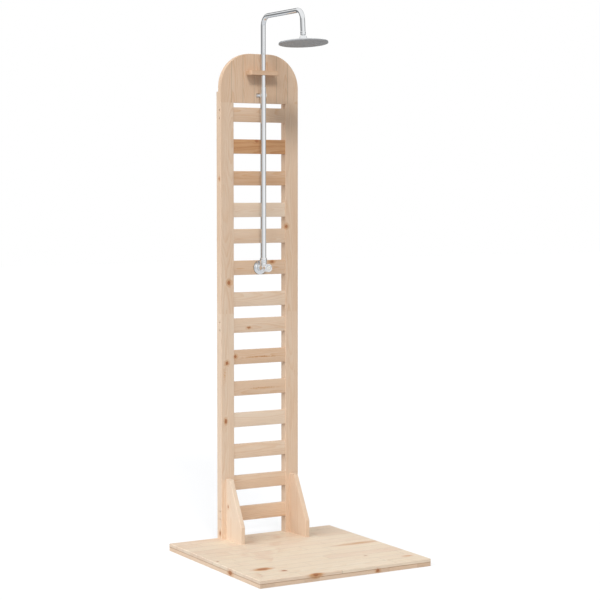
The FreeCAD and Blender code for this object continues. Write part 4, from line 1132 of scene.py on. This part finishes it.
class SHOWER_OT_arm(bpy.types.Operator):
    """The bent upper tube, and the nut and ball at its end"""

    bl_idname = "shower.arm"
    bl_label = "Arm"

    def execute(self, context):
        sizes = context.scene.shower_sizes
        top = arm_high.z - sizes.arm_radius
        end = ball_centre + drop_axis * NUT_TOP * MM
        lean = drop_axis.y / drop_axis.z
        corner = Vector((end.x, end.y + (top - end.z) * lean, top))
        route = [Vector((riser_axis.x, riser_axis.y, arm_low.z)),
                 Vector((riser_axis.x, riser_axis.y, top)), corner, end]
        mesh = bpy.data.meshes.new("arm")
        mesh.from_pydata(route, [(0, 1), (1, 2), (2, 3)], [])
        arm = grow("arm", mesh, new_tube_tree(), "chrome", radius=sizes.arm_radius,
                   bend=sizes.arm_bend, sides=64, steps=24)
        turn_outwards(arm.data)
        smooth(arm.data, 50.0)
        stand_for(arm, "arm", "chrome", "shower_arm")

        ball = on_sphere(BALL_RADIUS, 180.0, 30.0, 20)
        ball[0] = (0.0, -BALL_RADIUS)
        new_turned("ball_and_nut", [
            *ball, (4.0, 11.3), (9.8, 11.3, 0.3), (11.0, 12.5, 0.6), (11.0, 15.6, 0.3),
            (10.4, 16.1, 0.2), (10.4, 17.1, 0.2), (11.0, 17.6, 0.3), (11.0, 24.0, 0.8),
            (9.9, NUT_TOP, 0.4), (8.2, NUT_TOP), (8.2, 38.0), (0.0, 38.0)],
            along_drop(), "arm", "chrome", "ball_stem", loop=False)
        return {"FINISHED"}


class SHOWER_OT_head(bpy.types.Operator):
    """The rain head: collar, dome, spray plate and nozzles"""

    bl_idname = "shower.head"
    bl_label = "Head"

    def execute(self, context):
        sizes = context.scene.shower_sizes
        place = along_drop()
        foot = (15.5, -3.0)
        mouth = (12.0, 8.0)
        new_turned("bell_collar", [
            (13.05, -6.0), (15.5, -6.0, 0.4), (*foot, 1.0), *bow(foot, mouth, -30.0),
            (*mouth, 0.8), (8.28, 8.0, 0.3), *on_sphere(CUP_RADIUS, 46.0, 90.0, 8),
            (13.05, 0.0)], place, "head", "chrome", "retaining_collar")

        brim = (98.6, -17.0)
        shoulder = (13.0, -6.5)
        inner_brim = (98.0, -19.0)
        inner_shoulder = (13.0, -8.5)
        dome = new_turned("dome", [
            inner_shoulder, *bow(inner_shoulder, inner_brim, DOME_BOW, 12), inner_brim,
            (98.0, -24.0, 0.3), (100.0, -24.0, 0.7), (100.0, -19.6, 0.8), (*brim, 1.0),
            *bow(brim, shoulder, -DOME_BOW, 16), shoulder, (13.0, 0.0),
            *on_sphere(CUP_RADIUS, 90.0, 157.0, 10), (4.0, -12.4), (13.0, -12.4)],
            place, "head", "chrome", "head_shell", segments=128)
        refinish_wall(dome.data, place, "spray_steel", 97.5, -24.5, -19.0)

        nozzle = lathe("nozzles", [
            (0.0, 0.0), (1.5, 0.0), (1.5, -1.4, 0.2), (1.25, -2.5, 0.3), (0.55, -2.7, 0.1),
            (0.45, -1.9), (0.0, -1.9)], Matrix(), segments=14)
        nozzles = grow("nozzles", nozzle, new_nozzle_tree(sizes.nozzle_rings), "nozzle_rubber",
                       pitch=sizes.nozzle_pitch, in_first_ring=6)
        nozzles.data.transform(place @ upright_at(0.0, 0.0, MAT_FACE * MM))
        mat = lathe("mat", [(0.0, MAT_FACE), (94.9, MAT_FACE, 0.2), (94.9, -21.3, 0.2),
                            (0.0, -21.3)], place, segments=96)
        nozzles.data = joined("nozzles", nozzles.data, mat)
        nozzles.data.materials.append(get_finish("nozzle_rubber"))
        stand_for(nozzles, "head", "nozzle_rubber", "nozzle_mat")
        return {"FINISHED"}


class SHOWER_OT_finishes(bpy.types.Operator):
    """The finishes of the pieces that keep the frame's own shape"""

    bl_idname = "shower.finishes"
    bl_label = "Finishes"

    def execute(self, context):
        for part in frame["record"]["subparts"]:
            node = frame["nodes"][part["node"]]
            finish = get_finish(part["material_slot"])
            if not node.material_slots:
                node.data.materials.append(finish)
            for slot in node.material_slots:
                slot.material = finish
        return {"FINISHED"}


class SHOWER_OT_stage(bpy.types.Operator):
    """The studio: pale floor, white surround, soft lights and the camera"""

    bl_idname = "shower.stage"
    bl_label = "Stage"

    def execute(self, context):
        scene = context.scene
        look = scene.stage_look
        self.build_floor()
        self.build_world(scene, look)
        for name, towards, strength, softness, colour in (
                ("key light", (-0.35, -0.95, 0.8), look.key, 13.0, grey(1.0)),
                ("side light", (-0.82, -0.1, 0.56), look.side, 60.0, (0.94, 1.0, 1.06)),
                ("fill light", (0.6, 0.75, 0.5), look.fill, 60.0, grey(1.0))):
            lamp = bpy.data.lights.new(name, "SUN")
            lamp.energy = strength
            lamp.angle = math.radians(softness)
            lamp.color = colour
            sun = link_object(name, lamp)
            sun.rotation_euler = Vector(towards).to_track_quat("Z", "Y").to_euler()
            sun.location = Vector(towards) * 5
            sun.visible_glossy = False
        lens = bpy.data.cameras.new("camera")
        lens.lens = look.lens
        lens.shift_y = -0.05
        lens.clip_end = 60.0
        camera = link_object("camera", lens)
        camera.location = CAMERA_PLACE
        camera.rotation_euler = (math.radians(90 - CAMERA_DIP), 0.0, math.radians(-CAMERA_TURN))
        scene.camera = camera
        scene.view_settings.view_transform = "Standard"
        return {"FINISHED"}

    def build_floor(self):
        mesh = bpy.data.meshes.new("floor")
        corners = ((-1, -1), (1, -1), (1, 1), (-1, 1))
        mesh.from_pydata([(x * FLOOR_REACH, y * FLOOR_REACH, 0.0) for x, y in corners], [],
                         [(0, 1, 2, 3)])
        floor = link_object("floor", mesh)
        pale = Finish("pale_floor")
        point = pale.point()
        path = pale.take_all("ShaderNodeLightPath")
        # mirrors see the white sweep end behind the tower, which draws the chrome's dark lines
        depth = pale.vector("DOT_PRODUCT", point, (*AWAY, 0.0))
        near = pale.spread(depth, 3.4, 5.0, 1.0, 0.0)
        mirrored = path["Is Glossy Ray"] * pale.math("SUBTRACT", 1.0, near)
        shade = pale.mix(pale.noise(point, 3.0), grey(0.54), grey(0.56))
        shade = pale.mix(path["Is Camera Ray"], shade, grey(0.3))
        seen = pale.math("MAXIMUM", path["Is Camera Ray"], path["Is Glossy Ray"] * (near * 0.22))
        mesh.materials.append(pale.dress({
            "Base Color": pale.mix(mirrored, shade, grey(0.18)), "Roughness": 0.9,
            "Specular IOR Level": 0.0, "Emission Color": (1.0, 1.0, 1.0, 1.0),
            "Emission Strength": seen * 0.7}))

    def build_world(self, scene, look):
        world = bpy.data.worlds.new("studio")
        scene.world = world
        world.use_nodes = True
        studio = Nodes(world.node_tree)
        path = studio.take_all("ShaderNodeLightPath")
        direction = studio.take("ShaderNodeTexCoord", output="Generated")
        height = studio.split(direction)[2]
        # a turn of 0.5 faces the studio's front; the walls beside the backdrop are darker,
        # which gives the chrome its grey edges
        front = studio.vector("DOT_PRODUCT", direction, (-AWAY[0], -AWAY[1], 0.0))
        right = studio.vector("DOT_PRODUCT", direction, (AWAY[1], -AWAY[0], 0.0))
        turn = studio.math("ARCTAN2", right, front).times_plus(0.5 / math.pi, 0.5)
        walls = studio.ramp(turn, (0.0, 0.95), (0.04, 0.85), (0.08, 0.2), (0.24, 0.26),
                            (0.36, 0.5), (0.46, 0.78), (0.55, 1.0), (0.7, 1.0), (0.78, 0.36),
                            (0.92, 0.18), (0.96, 0.85), (1.0, 0.95))
        shine = studio.mix(studio.spread(height, 0.16, 0.34), walls, grey(0.97))
        # a dark band over the backdrop draws the arm's upper edge
        behind = studio.spread(studio.math("ABSOLUTE", turn - 0.5), 0.38, 0.41)
        lintel = studio.spread(height, 0.06, 0.1) * studio.spread(height, 0.6, 0.5)
        shine = studio.mix(behind * lintel, shine, grey(0.2))
        soft = studio.spread(height, -0.2, 0.8, 0.85, 2.0) * look.ambient
        soft = studio.mix(1.0, (0.985, 0.995, 1.02), studio.join(soft, soft, soft), "MULTIPLY")
        is_mirror = studio.math("MAXIMUM", path["Is Glossy Ray"], path["Is Transmission Ray"])
        colour = studio.mix(is_mirror, soft, shine)
        background = world.node_tree.nodes["Background"]
        studio.feed(background.inputs["Color"],
                    studio.mix(path["Is Camera Ray"], colour, grey(1.0)))


class SHOWER_PT_panel(bpy.types.Panel):
    """Lists the pieces of the shower post and the stage"""

    bl_idname = "SHOWER_PT_panel"
    bl_label = "Outdoor Shower Post"
    bl_space_type = "VIEW_3D"
    bl_region_type = "UI"
    bl_category = "Shower"

    def draw(self, context):
        column = self.layout.column()
        for operator in OPERATORS:
            column.operator(operator.bl_idname)
        for group in GROUPS:
            look = getattr(context.scene, group)
            for name in look.bl_rna.properties.keys():
                if name not in ("rna_type", "name"):
                    column.prop(look, name)


GROUPS = {
    "pine_look": PineLook, "metal_look": MetalLook, "shower_sizes": ShowerSizes,
    "stage_look": StageLook}
OPERATORS = (
    SHOWER_OT_tray, SHOWER_OT_tower, SHOWER_OT_slats, SHOWER_OT_riser, SHOWER_OT_valve,
    SHOWER_OT_knob, SHOWER_OT_arm, SHOWER_OT_head, SHOWER_OT_finishes, SHOWER_OT_stage)


def register():
    for name, group in GROUPS.items():
        bpy.utils.register_class(group)
        setattr(bpy.types.Scene, name, bpy.props.PointerProperty(type=group))
    for operator in OPERATORS:
        bpy.utils.register_class(operator)
    bpy.utils.register_class(SHOWER_PT_panel)


def unregister():
    bpy.utils.unregister_class(SHOWER_PT_panel)
    for operator in reversed(OPERATORS):
        bpy.utils.unregister_class(operator)
    for name, group in GROUPS.items():
        delattr(bpy.types.Scene, name)
        bpy.utils.unregister_class(group)


def main():
    register()
    for operator in OPERATORS:
        category, name = operator.bl_idname.split(".")
        getattr(getattr(bpy.ops, category), name)()


if __name__ == "__main__":
    main()
